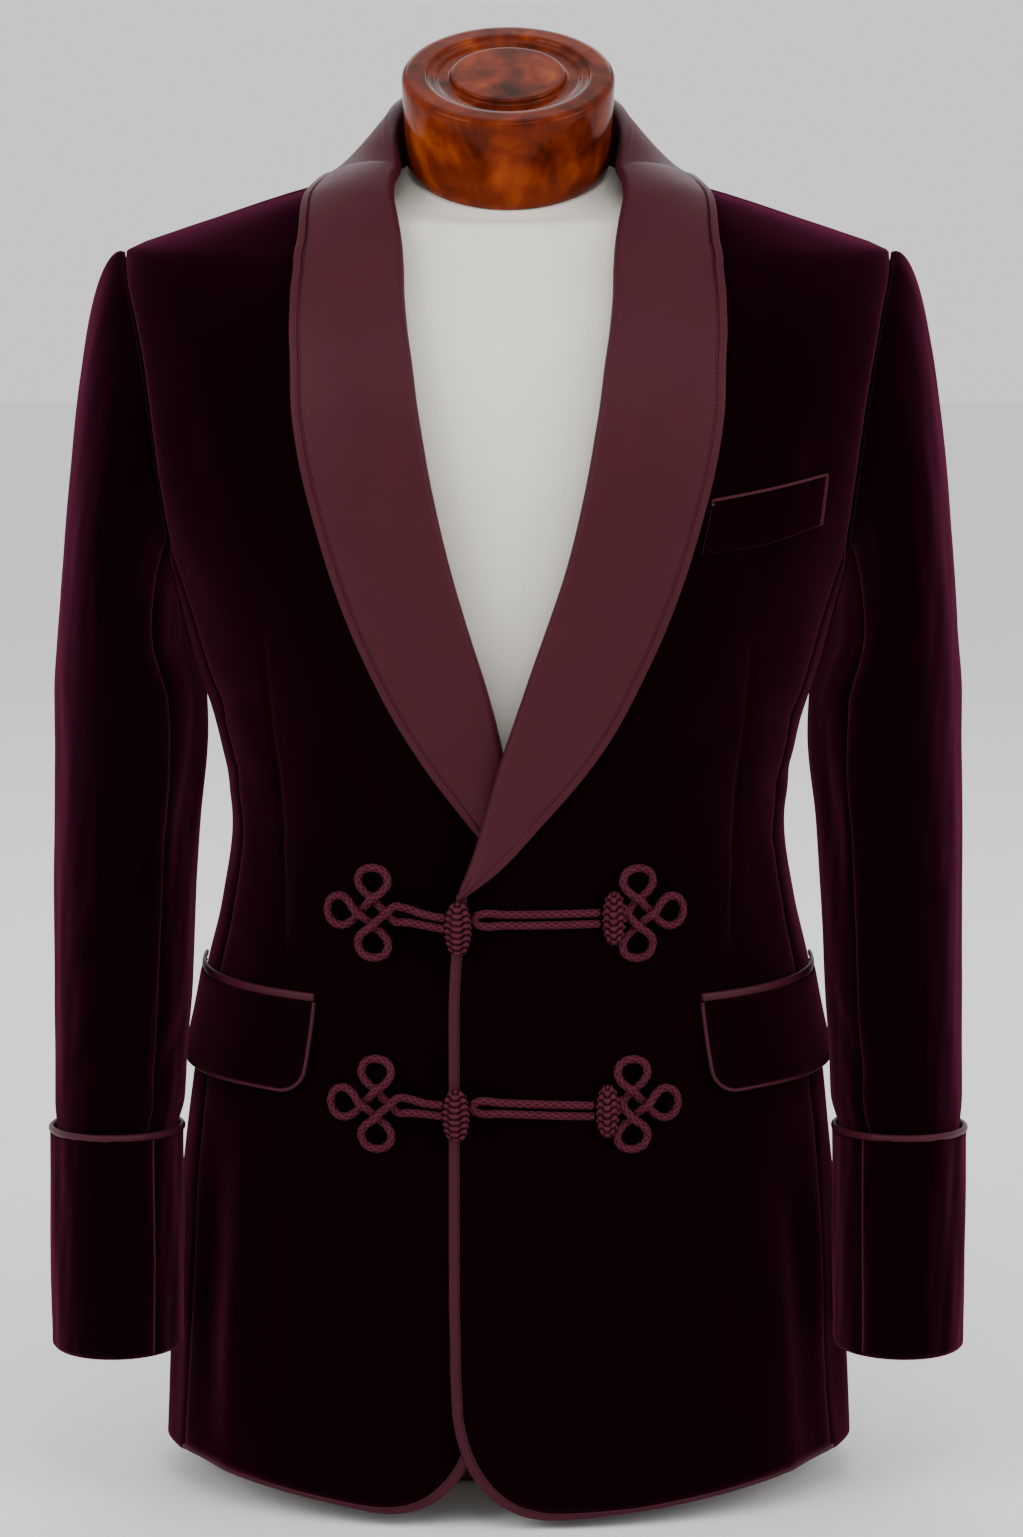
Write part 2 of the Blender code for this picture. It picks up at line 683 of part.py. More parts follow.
def sleeve_face(phi, v, depth):
    point = sleeve(phi, v)
    if depth:
        step = PROBE * 10
        round_it = sleeve(phi - step, v) - sleeve(phi + step, v)
        if v < 1:
            down = sleeve(phi, min(v + step, 0.9999)) - sleeve(phi, v)
        else:
            down = sleeve(phi, v + step) - sleeve(phi, v)
        point = point - depth * unit(np.cross(down, round_it))
    return point


def sleeve_turns():
    """Where round the armhole the panels have their points, as turns of the sleeve."""
    turns = []
    for z in reversed(ARMHOLE_ROWS):
        turns.append(math.acos((z - ARMHOLE_MID) / ARMHOLE_HALF))
    for column in range(SIDE_COLUMNS + 1):
        u, _ = side_knot(column, len(SIDE_LEVELS) - 1)
        off = u - math.pi / 2
        if off < 0:
            turns.append(math.pi - math.asin(-off / ARMHOLE_FRONT))
        else:
            turns.append(math.pi + math.asin(off / ARMHOLE_BACK))
    for z in ARMHOLE_ROWS:
        turns.append(2 * math.pi - math.acos((z - ARMHOLE_MID) / ARMHOLE_HALF))
    return [0.0] + turns + [2 * math.pi]


def sleeve_piece(side, name, turns):
    rows = list(CAP_ROWS) + [1 + SLEEVE_TOP - z for z in ARM_ROWS]
    slack = GAP / 2 / 0.06

    def face(depth):
        def place(column, row):
            phi = turns[column]
            if column == 0:
                phi += slack
            if column == len(turns) - 1:
                phi -= slack
            return sleeve_face(phi, rows[row], depth) * np.array((side, 1, 1))
        return place

    wall(name, len(turns) - 1, len(rows) - 1, face(0.0), face(SLEEVE_WALL), VELVET_CLOTH)


def sleeves(side, top_name, under_name):
    turns = sleeve_turns()
    inseam = min(range(len(turns)), key=lambda i: abs(turns[i] - INSEAM))
    hindarm = min(range(len(turns)), key=lambda i: abs(turns[i] - HINDARM))
    over_the_top = [turn - 2 * math.pi for turn in turns[hindarm:-1]] + turns[:inseam + 1]
    sleeve_piece(side, top_name, over_the_top)
    sleeve_piece(side, under_name, turns[inseam:hindarm + 1])


def cuff_turns():
    turns = sleeve_turns()
    seam = turns.index(min(turns, key=lambda turn: abs(turn - HINDARM)))
    return turns[seam:-1] + [turn + 2 * math.pi for turn in turns[:seam + 1]]


def cuff(side, name):
    """The cuff's middle surface: down the outside, round the fold and up inside the sleeve."""
    turns = cuff_turns()
    outer = CUFF_STANDOFF
    inner = -SLEEVE_WALL - CUFF_WALL / 2 - 2 * GAP
    middle = (outer + inner) / 2
    radius = (outer - inner) / 2
    profile = [(outer, z) for z in (CUFF_TOP, 0.180, 0.138, CUFF_BOTTOM)]
    for turn in (45, 90, 135):
        turn = math.radians(turn)
        profile.append((middle + radius * math.cos(turn), CUFF_BOTTOM - radius * math.sin(turn)))
    profile += [(inner, CUFF_BOTTOM), (inner, CUFF_BOTTOM + CUFF_LIP)]
    seam = GAP / 2 / 0.04

    def place(column, row):
        off, z = profile[row]
        phi = turns[column]
        if column == 0:
            phi += seam
        if column == len(turns) - 1:
            phi -= seam
        return sleeve_level(phi, z, off) * np.array((side, 1, 1))

    shell(name, len(turns) - 1, len(profile) - 1, place, CUFF_WALL, VELVET_CLOTH)


def cuff_piping(side, name):
    z = CUFF_TOP + CUFF_PIPING + GAP
    points = [sleeve_level(phi, z, CUFF_STANDOFF) * np.array((side, 1, 1)) for phi in cuff_turns()[:-1]]
    cord(name, points, CUFF_PIPING, SATIN_CLOTH, closed=True)


# Collar

def collar_stations(side):
    """(roll angle, roll height, edge angle, edge height) up the collar."""
    tip = LEFT_TIP if side == LEFT else RIGHT_TIP
    rising = [(angle_at(roll_x, roll_z), roll_z, angle_at(edge_x, edge_z), edge_z)
              for roll_x, roll_z, edge_x, edge_z in tip + LAPEL]
    return rising + [(math.radians(roll), roll_z, math.radians(edge), edge_z)
                     for roll, roll_z, edge, edge_z in NECK]


def collar_section(side, station):
    """One cut across the collar's middle surface, and its end with the way outward and the normal."""
    roll_u, roll_z, edge_u, edge_z = station
    standing = eased((roll_z - 0.690) / 0.075)
    least_share = LAPEL_INNER_SHARE * (1 - 0.7 * standing)
    inner_share = max(least_share, (roll_z - NECK_SEAM - 0.0008) / (roll_z - edge_z))
    under = -(VELVET + UNDER_CLOTH + SATIN / 2)
    over = OVER_CLOTH + SATIN / 2 + (UNDERLAP_EASE if side == RIGHT else 0)
    roll = skin(side, roll_u, roll_z)
    edge = skin(side, edge_u, edge_z)
    width = np.linalg.norm(edge - roll)

    def at(distance, lift):
        w = distance / width
        return skin(side, between(roll_u, edge_u, w), between(roll_z, edge_z, w), lift)

    inner_end = max(width * inner_share, ROLL_INSET + 0.002)
    middle = (over + under) / 2
    radius = (over - under) / 2
    points = [at(inner_end, under), at(between(inner_end, ROLL_INSET, 0.5), under)]
    inset = at(ROLL_INSET, 0.0)
    normal = unit(at(ROLL_INSET, PROBE) - inset)
    back_along = unit(roll - inset)
    for turn in (-90, -45, 0, 45, 90):
        turn = math.radians(turn)
        out = middle + radius * math.sin(turn)
        points.append(inset + normal * out + back_along * radius * math.cos(turn))
    last = width - edging_width(width) - GAP
    end_lift = between(over, FALL_LIFT + SATIN / 2, standing)
    start = points[-1]
    end = at(last, end_lift)
    knee = between(start, end, 0.4) + normal * FALL_BULGE
    for w in (0.2, 0.4, 0.6, 0.8, 1.0):
        laid = at(between(ROLL_INSET, last, w), over)
        bent = (1 - w) ** 2 * start + 2 * w * (1 - w) * knee + w * w * end
        points.append(between(laid, bent, standing))
    outward = unit(at(width, end_lift) - end)
    lifted = unit(at(last, end_lift + PROBE) - end)
    rim = end + outward * 0.0008 * standing + lifted * SATIN / 2
    return points, (rim, outward, lifted), edging_width(width)


def edging_width(width):
    return min(COLLAR_EDGING, 0.26 * width)


def collar(side, name, edging_name):
    """Half of the shawl collar and the satin band stitched along its outer edge."""
    cuts = [collar_section(side, station) for station in collar_stations(side)]
    sections = [points for points, _, _ in cuts]
    columns = len(sections[0]) - 1
    shell(name, columns, len(sections) - 1, lambda i, j: sections[j][i], SATIN, SATIN_CLOTH)
    strip(edging_name, [rim for _, rim, _ in cuts], 2, [width for _, _, width in cuts], SATIN, SATIN_CLOTH)


# Pockets

def flap_knot(column, row):
    share = FLAP_COLUMNS[column]
    u = between(FLAP_FROM, FLAP_TO, share)
    away = 1 - min(1.0, (u - FLAP_FROM) / FLAP_CORNER)
    lift = FLAP_CORNER_HEIGHT * (1 - (1 - away ** 2) ** 0.5)
    drop = row / FLAP_ROWS
    z = between(FLAP_TOP, FLAP_BOTTOM + lift, drop)
    return u, z, LAID_ON + FLAP_LIFT * drop ** 2 + VELVET


def flap(side, name):
    def face(thickness):
        def place(column, row):
            u, z, lift = flap_knot(column, row)
            return skin(side, u, z, lift - thickness)
        return place

    wall(name, len(FLAP_COLUMNS) - 1, FLAP_ROWS, face(0.0), face(VELVET), VELVET_CLOTH)


def flap_piping(side, name):
    """Satin piping down the flap's front edge and along its bottom."""
    down = [(0, row) for row in range(FLAP_ROWS)]
    along = [(column, FLAP_ROWS) for column in range(len(FLAP_COLUMNS))]
    places = [flap_knot(*knot) for knot in down + along]
    points = [skin(side, u, z, lift) for u, z, lift in places]
    lifted = [skin(side, u, z, lift + PROBE) for u, z, lift in places]
    strip(name, rims_along(points, lifted, side), 2, [FLAP_PIPING] * len(points), VELVET, SATIN_CLOTH)


def jet(side, name):
    steps = len(FLAP_COLUMNS) - 1
    lifts = (JET_WALL * 0.7, JET_WALL * 1.3, JET_WALL * 0.7)

    def face(floor):
        def place(column, row):
            u = between(FLAP_FROM - 0.004, FLAP_TO, FLAP_COLUMNS[column])
            z = FLAP_TOP + 0.0004 + JET * row / 2
            return skin(side, u, z, LAID_ON + (0 if floor else lifts[row]))
        return place

    wall(name, steps, 2, face(False), face(True), SATIN_CLOTH)


welt_at = curve_through(WELT)


def welt_knot(share, rise):
    x, low, high = welt_at(share)
    z = between(low, high, rise)
    x = between(x - 0.0030, x + 0.0030, rise) if share == 0 else x + 0.0030 * (rise - 0.5)
    return angle_at(float(x), float(z)), float(z)


def welt(name, edge_name):
    """Breast welt on the left front, with a thin satin edge along its top and its outer end."""
    def face(lift):
        return lambda column, row: skin(LEFT, *welt_knot(column / WELT_COLUMNS, row / 2), lift)

    wall(name, WELT_COLUMNS, 2, face(SNUG + WELT_WALL), face(SNUG), VELVET_CLOTH)
    knots_along = [(column / WELT_COLUMNS, 1.0) for column in range(WELT_COLUMNS + 1)]
    knots_along += [(1.0, 0.5), (1.0, 0.0)]
    places = [welt_knot(*knot) for knot in knots_along]
    points = [skin(LEFT, u, z, SNUG + WELT_WALL) for u, z in places]
    lifted = [skin(LEFT, u, z, SNUG + WELT_WALL + PROBE) for u, z in places]
    rims = rims_along(points, lifted, -1)
    strip(edge_name, rims, 2, [WELT_EDGE] * len(rims), WELT_WALL, SATIN_CLOTH)


# Frogs

def on_front(x, z, lift):
    """Point off the fronts at a sideways place, over the body's own surface."""
    return body(angle_at(x, z), z, lift)


def frog_loops(name, middle, tail_end, direction):
    """Three cord loops round a middle; direction is the way their tails run, to tail_end."""
    reach = abs(tail_end[0] - middle[0])
    drop = tail_end[1] - middle[1]
    tails = []  # along, height of their middle line, half their spacing, rise of the upper one
    if reach > 0.02:
        tails = [(0.0080, 0.0, 0.0, 1.0), (0.0125, 0.0, 0.0044, 0.6), (0.0180, 0.1 * drop, 0.0040, 0.0),
                 (0.72 * reach, 0.6 * drop, PAIR, 0.0), (reach, drop, PAIR, 0.0)]
    route = [(along, line - spread, 0.0) for along, line, spread, _ in reversed(tails)]
    route.append((0.0036, 0.0036, 0.0))
    for quarter in (1, 2, 3):
        turn = math.radians(90 * quarter)
        for along, across, rise in LOOP[1 if quarter == 1 else 0:]:
            x = along * math.cos(turn) - across * math.sin(turn)
            z = along * math.sin(turn) + across * math.cos(turn)
            route.append((x, z, rise))
    route.append((0.0036, -0.0036, 0.6))
    route += [(along, line + spread, rise) for along, line, spread, rise in tails]
    points = []
    for x, z, rise in route:
        lift = CORD + LAID_ON + CROSSING * rise
        points.append(on_front(middle[0] + direction * x, middle[1] + z, lift))
    cord(name, points, CORD, SILK_CORD)


def knot(name, place, half, lift):
    bm = bmesh.new()
    bmesh.ops.create_uvsphere(bm, u_segments=12, v_segments=8, radius=1)
    middle = on_front(place[0], place[1], half[1] + lift)
    facing = angle_at(*place)
    for vertex in bm.verts:
        x, y, z = vertex.co.x * half[0], vertex.co.y * half[1], vertex.co.z * half[2]
        vertex.co = (middle[0] + x * math.cos(facing) - y * math.sin(facing),
                     middle[1] + x * math.sin(facing) + y * math.cos(facing), middle[2] + z)
    finish_mesh(bm, name, SILK_CORD)


def double_cord(name, toggle, knot_place):
    """A cord folded in two: out from the knot to the toggle's neck and back."""
    start = knot_place[0] - KNOT_HALF[0] - 0.0004
    turn = toggle[0] + TOGGLE_HALF[0] + 0.0006 + CORD
    steps = 5
    upper = [(between(start, turn + PAIR, i / steps), PAIR) for i in range(steps + 1)]
    bend = [(turn + PAIR * (1 - math.sin(math.radians(a))), PAIR * math.cos(math.radians(a)))
            for a in (45, 90, 135)]
    lower = [(x, -z) for x, z in reversed(upper)]
    points = []
    for x, z in upper + bend + lower:
        height = between(toggle[1] + PAIR_RISE, knot_place[1], (x - turn) / (start - turn))
        points.append(on_front(x, height + z, CORD + SNUG))
    cord(name, points, CORD, SILK_CORD)


def frog_row(label, places):
    toggle, knot_place, right_frog, left_frog = places
    toggle_flank = (toggle[0] - TOGGLE_HALF[0] - 0.0008, toggle[1])
    knot_flank = (knot_place[0] + KNOT_HALF[0] + 0.0006, knot_place[1])
    frog_loops("frog_right_" + label, right_frog, toggle_flank, 1)
    knot("toggle_" + label, toggle, TOGGLE_HALF, TOGGLE_LIFT)
    double_cord("frog_cord_" + label, toggle, knot_place)
    knot("knot_" + label, knot_place, KNOT_HALF, GAP + 0.0002)
    frog_loops("frog_left_" + label, left_frog, knot_flank, -1)


# Dress form

def form_torso(name):
    bm = grid(FORM_STEPS, len(FORM) - 1)
    for vertex, column, row in knots(bm.verts, FORM_STEPS, len(FORM) - 1):
        height, centre, half, front_depth, back_depth, power, slope = FORM[row]
        u = 2 * math.pi * column / FORM_STEPS
        depth = front_depth if math.cos(u) > 0 else back_depth
        sides = (abs(math.sin(u)) / half) ** power + (abs(math.cos(u)) / depth) ** power
        radius = sides ** (-1 / power)
        y = centre - radius * math.cos(u)
        vertex.co = (radius * math.sin(u), y, height + slope * (y - centre))
    bmesh.ops.remove_doubles(bm, verts=bm.verts, dist=1e-6)
    bmesh.ops.holes_fill(bm, edges=bm.edges, sides=0)
    finish_mesh(bm, name, JERSEY)


def form_foot(name):
    bm = bmesh.new()
    height = FOOT_HEIGHT - GAP
    bmesh.ops.create_cone(bm, segments=FOOT_STEPS, radius1=1, radius2=1, depth=height, cap_ends=True)
    for vertex in bm.verts:
        x, y = vertex.co.x * FOOT_HALF[0], vertex.co.y * FOOT_HALF[1]
        vertex.co = (x, FOOT_CENTRE + y, vertex.co.z + height / 2)
    finish_mesh(bm, name, DARK_WOOD)


def neck_block(name):
    mesh = bpy.data.meshes.new(name)
    points = [(radius, 0, height) for radius, height in BLOCK_PROFILE]
    mesh.from_pydata(points, [(i, i + 1) for i in range(len(points) - 1)], [])
    block = add_object(name, mesh, BURL)
    block.location = BLOCK_FOOT
    block.rotation_euler = (BLOCK_LEAN, 0, 0)
    turning = block.modifiers.new("turning", "SCREW")
    turning.steps = BLOCK_STEPS
    turning.render_steps = BLOCK_STEPS
    turning.use_merge_vertices = True
    turning.merge_threshold = 0.00005
    turning.use_smooth_shade = True


# The jacket on its form

for half, label in ((LEFT, "left"), (RIGHT, "right")):
    front(half, "front_" + label)
    side_panel(half, "side_panel_" + label)
    back(half, "back_" + label)
    front_edging(half, "front_edging_" + label)
    sleeves(half, "sleeve_top_" + label, "sleeve_under_" + label)
    cuff(half, "cuff_" + label)
    cuff_piping(half, "cuff_piping_" + label)
    collar(half, "collar_" + label, "collar_edging_" + label)
    flap(half, "flap_" + label)
    flap_piping(half, "flap_piping_" + label)
    jet(half, "jet_" + label)

welt("breast_welt", "breast_welt_edge")
for number, row_places in enumerate(FROG_ROWS, 1):
    frog_row(str(number), row_places)
form_torso("form_torso")
form_foot("form_foot")
neck_block("neck_block")
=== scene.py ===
"""Velvet smoking jacket with a satin shawl collar and two rows of frogs, on a limbless dress form.

Metres, +Z up. The jacket faces -Y and +X is the wearer's left. Each half is worked out with its
own side toward +X and then put on its side. The left front laps over the right one.
"""

import math

import bmesh
import bpy
import numpy as np
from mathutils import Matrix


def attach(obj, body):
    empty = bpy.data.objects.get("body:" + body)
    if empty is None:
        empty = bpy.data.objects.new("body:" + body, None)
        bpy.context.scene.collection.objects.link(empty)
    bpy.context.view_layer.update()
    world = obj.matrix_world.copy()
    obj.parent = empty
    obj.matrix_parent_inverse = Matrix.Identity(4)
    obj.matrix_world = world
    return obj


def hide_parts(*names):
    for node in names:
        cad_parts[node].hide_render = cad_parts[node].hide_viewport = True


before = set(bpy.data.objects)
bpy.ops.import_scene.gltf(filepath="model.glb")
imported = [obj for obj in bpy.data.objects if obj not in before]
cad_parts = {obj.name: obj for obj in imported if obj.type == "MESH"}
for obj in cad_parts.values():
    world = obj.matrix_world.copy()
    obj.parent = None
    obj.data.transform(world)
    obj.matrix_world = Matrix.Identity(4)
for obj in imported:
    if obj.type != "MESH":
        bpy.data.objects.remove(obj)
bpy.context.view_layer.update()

# Camera
# Stands in front of the jacket, above its middle, and looks slightly down at it.
CAMERA_PLACE = (0.0019, -3.2, 0.975)
CAMERA_TILT = math.radians(80.16)
CAMERA_LENS = 129.0

camera_data = bpy.data.cameras.new("camera")
camera_data.lens = CAMERA_LENS
camera_data.sensor_width = 36.0
camera = bpy.data.objects.new("camera", camera_data)
camera.location = CAMERA_PLACE
camera.rotation_euler = (CAMERA_TILT, 0, 0)
bpy.context.scene.collection.objects.link(camera)
bpy.context.scene.camera = camera


# Studio
# A pale floor in soft light from all round, with large soft lamps at both sides, above the front
# and behind, which make the nap of the velvet glow along its turned edges.
class Wire:
    """One output of a material's nodes; a sum written on it adds the Math node for it."""

    def __init__(self, finish, socket):
        self.finish = finish
        self.socket = socket

    def sum(self, operation, first, second):
        return self.finish.node("ShaderNodeMath", {"operation": operation}, {0: first, 1: second})

    def __add__(self, other):
        return self.sum("ADD", self, other)

    def __mul__(self, other):
        return self.sum("MULTIPLY", self, other)


class Finish:
    """A material while its nodes are laid out."""

    def __init__(self, name):
        self.material = bpy.data.materials.new(name)
        self.material.use_nodes = True
        self.tree = self.material.node_tree
        self.shader = self.tree.nodes["Principled BSDF"]

    def node(self, kind, settings, sockets, output=0):
        made = self.tree.nodes.new(kind)
        for key, value in settings.items():
            if key == "stops":
                stops = made.color_ramp.elements
                while len(stops) < len(value):
                    stops.new(0.5)
                for stop, (place, colour) in zip(stops, value):
                    stop.position = place
                    stop.color = (*colour, 1)
            else:
                setattr(made, key, value)
        for key, value in sockets.items():
            self.give(made.inputs[key], value)
        return Wire(self, made.outputs[output])

    def give(self, socket, value):
        if isinstance(value, Wire):
            self.tree.links.new(value.socket, socket)
        else:
            socket.default_value = value

    def set(self, **sockets):
        for key, value in sockets.items():
            self.give(self.shader.inputs[key.replace("_", " ")], value)
        return self.material

    def place(self, kind="Object"):
        return self.node("ShaderNodeTexCoord", {}, {}, kind)

    def noise(self, place, scale, detail=2.0, distortion=0.0):
        sockets = {"Vector": place, "Scale": scale, "Detail": detail, "Distortion": distortion}
        return self.node("ShaderNodeTexNoise", {}, sockets)

    def stretched(self, place, scale):
        return self.node("ShaderNodeMapping", {}, {"Vector": place, "Scale": scale})

    def mix(self, share, first, second):
        settings = {"data_type": "RGBA", "clamp_factor": True}
        return self.node("ShaderNodeMix", settings, {0: share, 6: first, 7: second}, 2)

    def bump(self, height, distance, strength=1.0):
        sockets = {"Height": height, "Distance": distance, "Strength": strength}
        return self.node("ShaderNodeBump", {}, sockets)


def colour(red, green, blue):
    return (red, green, blue, 1.0)


def pale_floor():
    finish = Finish("pale_floor")
    speckle = finish.noise(finish.place(), 60.0)
    tone = finish.mix(speckle, colour(0.86, 0.86, 0.85), colour(0.90, 0.90, 0.89))
    return finish.set(Base_Color=tone, Roughness=0.9)


def smooth_object(name, bm):
    """Puts a finished bmesh into the scene as a smooth object."""
    mesh = bpy.data.meshes.new(name)
    bm.to_mesh(mesh)
    bm.free()
    mesh.shade_smooth()
    made = bpy.data.objects.new(name, mesh)
    bpy.context.scene.collection.objects.link(made)
    return made


FLOOR_HALF = 6.0
floor_bm = bmesh.new()
bmesh.ops.create_grid(floor_bm, x_segments=2, y_segments=2, size=FLOOR_HALF)
floor = smooth_object("floor", floor_bm)
floor.data.materials.append(pale_floor())

ROOM_LIGHT = 1.0
room = bpy.data.worlds.new("room")
room.use_nodes = True
background = room.node_tree.nodes["Background"]
background.inputs["Color"].default_value = colour(1.0, 1.0, 1.0)
background.inputs["Strength"].default_value = ROOM_LIGHT
bpy.context.scene.world = room

LAMP_TARGET = (0.0, 0.0, 0.45)
# columns: place, watts, width
LAMPS = (
    ((-1.7, -1.3, 1.5), 26.0, 1.3),
    ((1.9, -1.0, 1.3), 20.0, 1.3),
    ((0.3, -1.9, 2.4), 16.0, 1.5),
    ((0.0, 1.8, 1.9), 16.0, 1.4),
)
for number, (lamp_place, watts, width) in enumerate(LAMPS, 1):
    lamp_data = bpy.data.lights.new(f"lamp_{number}", "AREA")
    lamp_data.energy = watts
    lamp_data.size = width
    lamp = bpy.data.objects.new(f"lamp_{number}", lamp_data)
    lamp.location = lamp_place
    toward = np.array(LAMP_TARGET) - np.array(lamp_place)
    flat = math.hypot(toward[0], toward[1])
    lamp.rotation_euler = (math.atan2(flat, -toward[2]), 0, math.atan2(-toward[0], toward[1]))
    bpy.context.scene.collection.objects.link(lamp)


# Dress form
# A smooth torso with no limbs under a stretched cream jersey, on an oval turned foot of dark wood.
# It stands by itself on the foot and carries the jacket on its shoulders.
LEFT = 1
RIGHT = -1


def steps_of(points, axis=0):
    """Distances from each point to the next."""
    return np.linalg.norm(np.diff(points, axis=axis), axis=-1)


def piece(name, points, side=LEFT, round_across=False, round_along=False, hollow=None):
    """A surface through points[row, column], its own side turned toward +X or -X."""
    rows, columns = points.shape[:2]
    bm = bmesh.new()
    bm.loops.layers.uv.new("cut")
    # Painted shade: a layer of how deep between strands each point lies, which the cord's finish
    # paints dark
    depth = bm.verts.layers.float.new("hollow") if hollow is not None else None
    bmesh.ops.create_grid(bm, x_segments=columns - 1, y_segments=rows - 1, size=1, calc_uvs=True)
    placed = (points * (side, 1, 1)).tolist()
    for vertex in bm.verts:
        column = round((vertex.co.x + 1) / 2 * (columns - 1))
        row = round((vertex.co.y + 1) / 2 * (rows - 1))
        vertex.co = placed[row][column]
        if depth:
            vertex[depth] = float(hollow[row, column])
    if round_across or round_along:
        bmesh.ops.remove_doubles(bm, verts=bm.verts, dist=1e-7)
    if round_across and not round_along:
        rims = [edge for edge in bm.edges if edge.is_boundary]
        bmesh.ops.holes_fill(bm, edges=rims, sides=0)
    if side == RIGHT:
        bmesh.ops.reverse_faces(bm, faces=bm.faces)
    made = smooth_object(name, bm)
    width = steps_of(points, 1).sum(1).mean()
    length = steps_of(points).sum(0).mean()
    for corner in made.data.uv_layers["cut"].uv:
        corner.vector = (corner.vector[0] * width, corner.vector[1] * length)
    return made


def fitted(made, node, material):
    """Gives a piece its finish, and its place in the frame."""
    made.data.materials.append(material)
    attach(made, "root")
    if node:
        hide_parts(node)
    return made


def hermite(w, start, leaving, end, arriving, step=1.0):
    """From start at w = 0 to end at w = 1, with the directions given there."""
    return ((1 + 2 * w) * (1 - w) ** 2 * start + w * (1 - w) ** 2 * step * leaving
            + (w * w * (3 - 2 * w) * end + w * w * (w - 1) * step * arriving))


def curve_through(table):
    """Reads a table at any values of its first column, smoothly, and never swings past its rows."""
    rows = np.array(table, float)
    keys = rows[:, 0]
    rises = np.diff(rows, axis=0) / np.diff(keys)[:, None]
    before, after = rises[:-1], rises[1:]
    total = np.where(before + after == 0, 1, before + after)
    slopes = np.zeros_like(rows)
    slopes[1:-1] = np.where(before * after > 0, 2 * before * after / total, 0)
    slopes[0], slopes[-1] = rises[0], rises[-1]

    def read(key):
        key = np.asarray(key, float)
        i = np.clip(np.searchsorted(keys, key) - 1, 0, len(keys) - 2)
        step = (keys[i + 1] - keys[i])[..., None]
        w = np.clip((key - keys[i])[..., None] / step, 0.0, 1.0)
        values = hermite(w, rows[i], slopes[i], rows[i + 1], slopes[i + 1], step)
        return np.moveaxis(values[..., 1:], -1, 0)

    return read


def egg(u, half, front, back, power):
    """Distance from the axis to a squared oval, u being the angle from the front centre."""
    depth = np.where(np.cos(u) > 0, front, back)
    sides = (np.abs(np.sin(u)) / half) ** power + (np.abs(np.cos(u)) / depth) ** power
    return sides ** (-1 / power)


# columns: height, centre in depth, half width, front depth, back depth, power, slope of the level
FORM = (
    (0.060, 0.000, 0.1480, 0.0920, 0.0980, 2.20, 0.00),
    (0.075, 0.000, 0.1580, 0.1000, 0.1040, 2.25, 0.00),
    (0.150, 0.000, 0.1680, 0.1080, 0.1080, 2.30, 0.00),
    (0.250, 0.000, 0.1660, 0.1080, 0.1060, 2.30, 0.00),
    (0.340, 0.000, 0.1520, 0.1040, 0.0970, 2.20, 0.00),
    (0.392, 0.000, 0.1475, 0.1025, 0.0930, 2.15, 0.00),
    (0.440, 0.000, 0.1520, 0.1060, 0.0970, 2.15, 0.00),
    (0.520, 0.000, 0.1700, 0.1180, 0.1080, 2.25, 0.00),
    (0.600, 0.000, 0.1820, 0.1210, 0.1180, 2.45, 0.00),
    (0.640, 0.000, 0.1860, 0.1170, 0.1180, 2.50, 0.00),
    (0.680, 0.000, 0.1880, 0.1040, 0.1105, 2.40, 0.00),
    (0.705, 0.000, 0.1875, 0.0895, 0.1005, 2.25, 0.00),
    (0.7245, 0.000, 0.1850, 0.0745, 0.0895, 2.05, 0.00),
    (0.734, 0.000, 0.1820, 0.0700, 0.0840, 1.95, 0.00),
    (0.7426, 0.000, 0.1660, 0.0665, 0.0785, 1.90, 0.00),
    (0.748, 0.000, 0.1440, 0.0640, 0.0740, 1.90, 0.04),
    (0.757, 0.000, 0.0940, 0.0600, 0.0560, 1.95, 0.18),
    (0.766, 0.002, 0.0600, 0.0550, 0.0540, 2.00, 0.35),
    (0.7754, 0.003, 0.0545, 0.0532, 0.0520, 2.00, 0.4578),
)


def jersey():
    finish = Finish("form_cover")
    place = finish.place()
    cloud = finish.noise(place, 14.0)
    knit = finish.noise(finish.stretched(place, (900.0, 900.0, 350.0)), 1.0)
    tone = finish.mix(cloud, colour(0.70, 0.66, 0.58), colour(0.80, 0.77, 0.70))
    roughness = cloud * 0.1 + 0.82
    return finish.set(Base_Color=tone, Roughness=roughness, Normal=finish.bump(knit, 0.0003))


def dark_wood():
    finish = Finish("foot_wood")
    along = finish.stretched(finish.place(), (4.0, 30.0, 30.0))
    grain = finish.noise(along, 3.0, 6.0, 0.6)
    tone = finish.mix(grain, colour(0.030, 0.012, 0.006), colour(0.105, 0.045, 0.020))
    roughness = grain * 0.2 + 0.28
    return finish.set(Base_Color=tone, Roughness=roughness, Normal=finish.bump(grain, 0.0002))


form_at = curve_through(FORM)
form_heights = np.linspace(FORM[0][0], FORM[-1][0], 90)[:, None]
form_turns = np.linspace(0, 2 * math.pi, 97)[None, :]
centre, *form_oval, slope = form_at(form_heights)
form_reach = egg(form_turns, *form_oval)
form_y = centre - form_reach * np.cos(form_turns)
form_points = np.stack((form_reach * np.sin(form_turns), form_y,
                        form_heights + slope * (form_y - centre)), -1)
fitted(piece("form_torso_cover", form_points, round_across=True), "form_torso",
       jersey())

FOOT_HALF = (0.130, 0.079)
FOOT_CENTRE = 0.021
FOOT_HEIGHT = 0.0597
FOOT_ROUNDING = 0.006

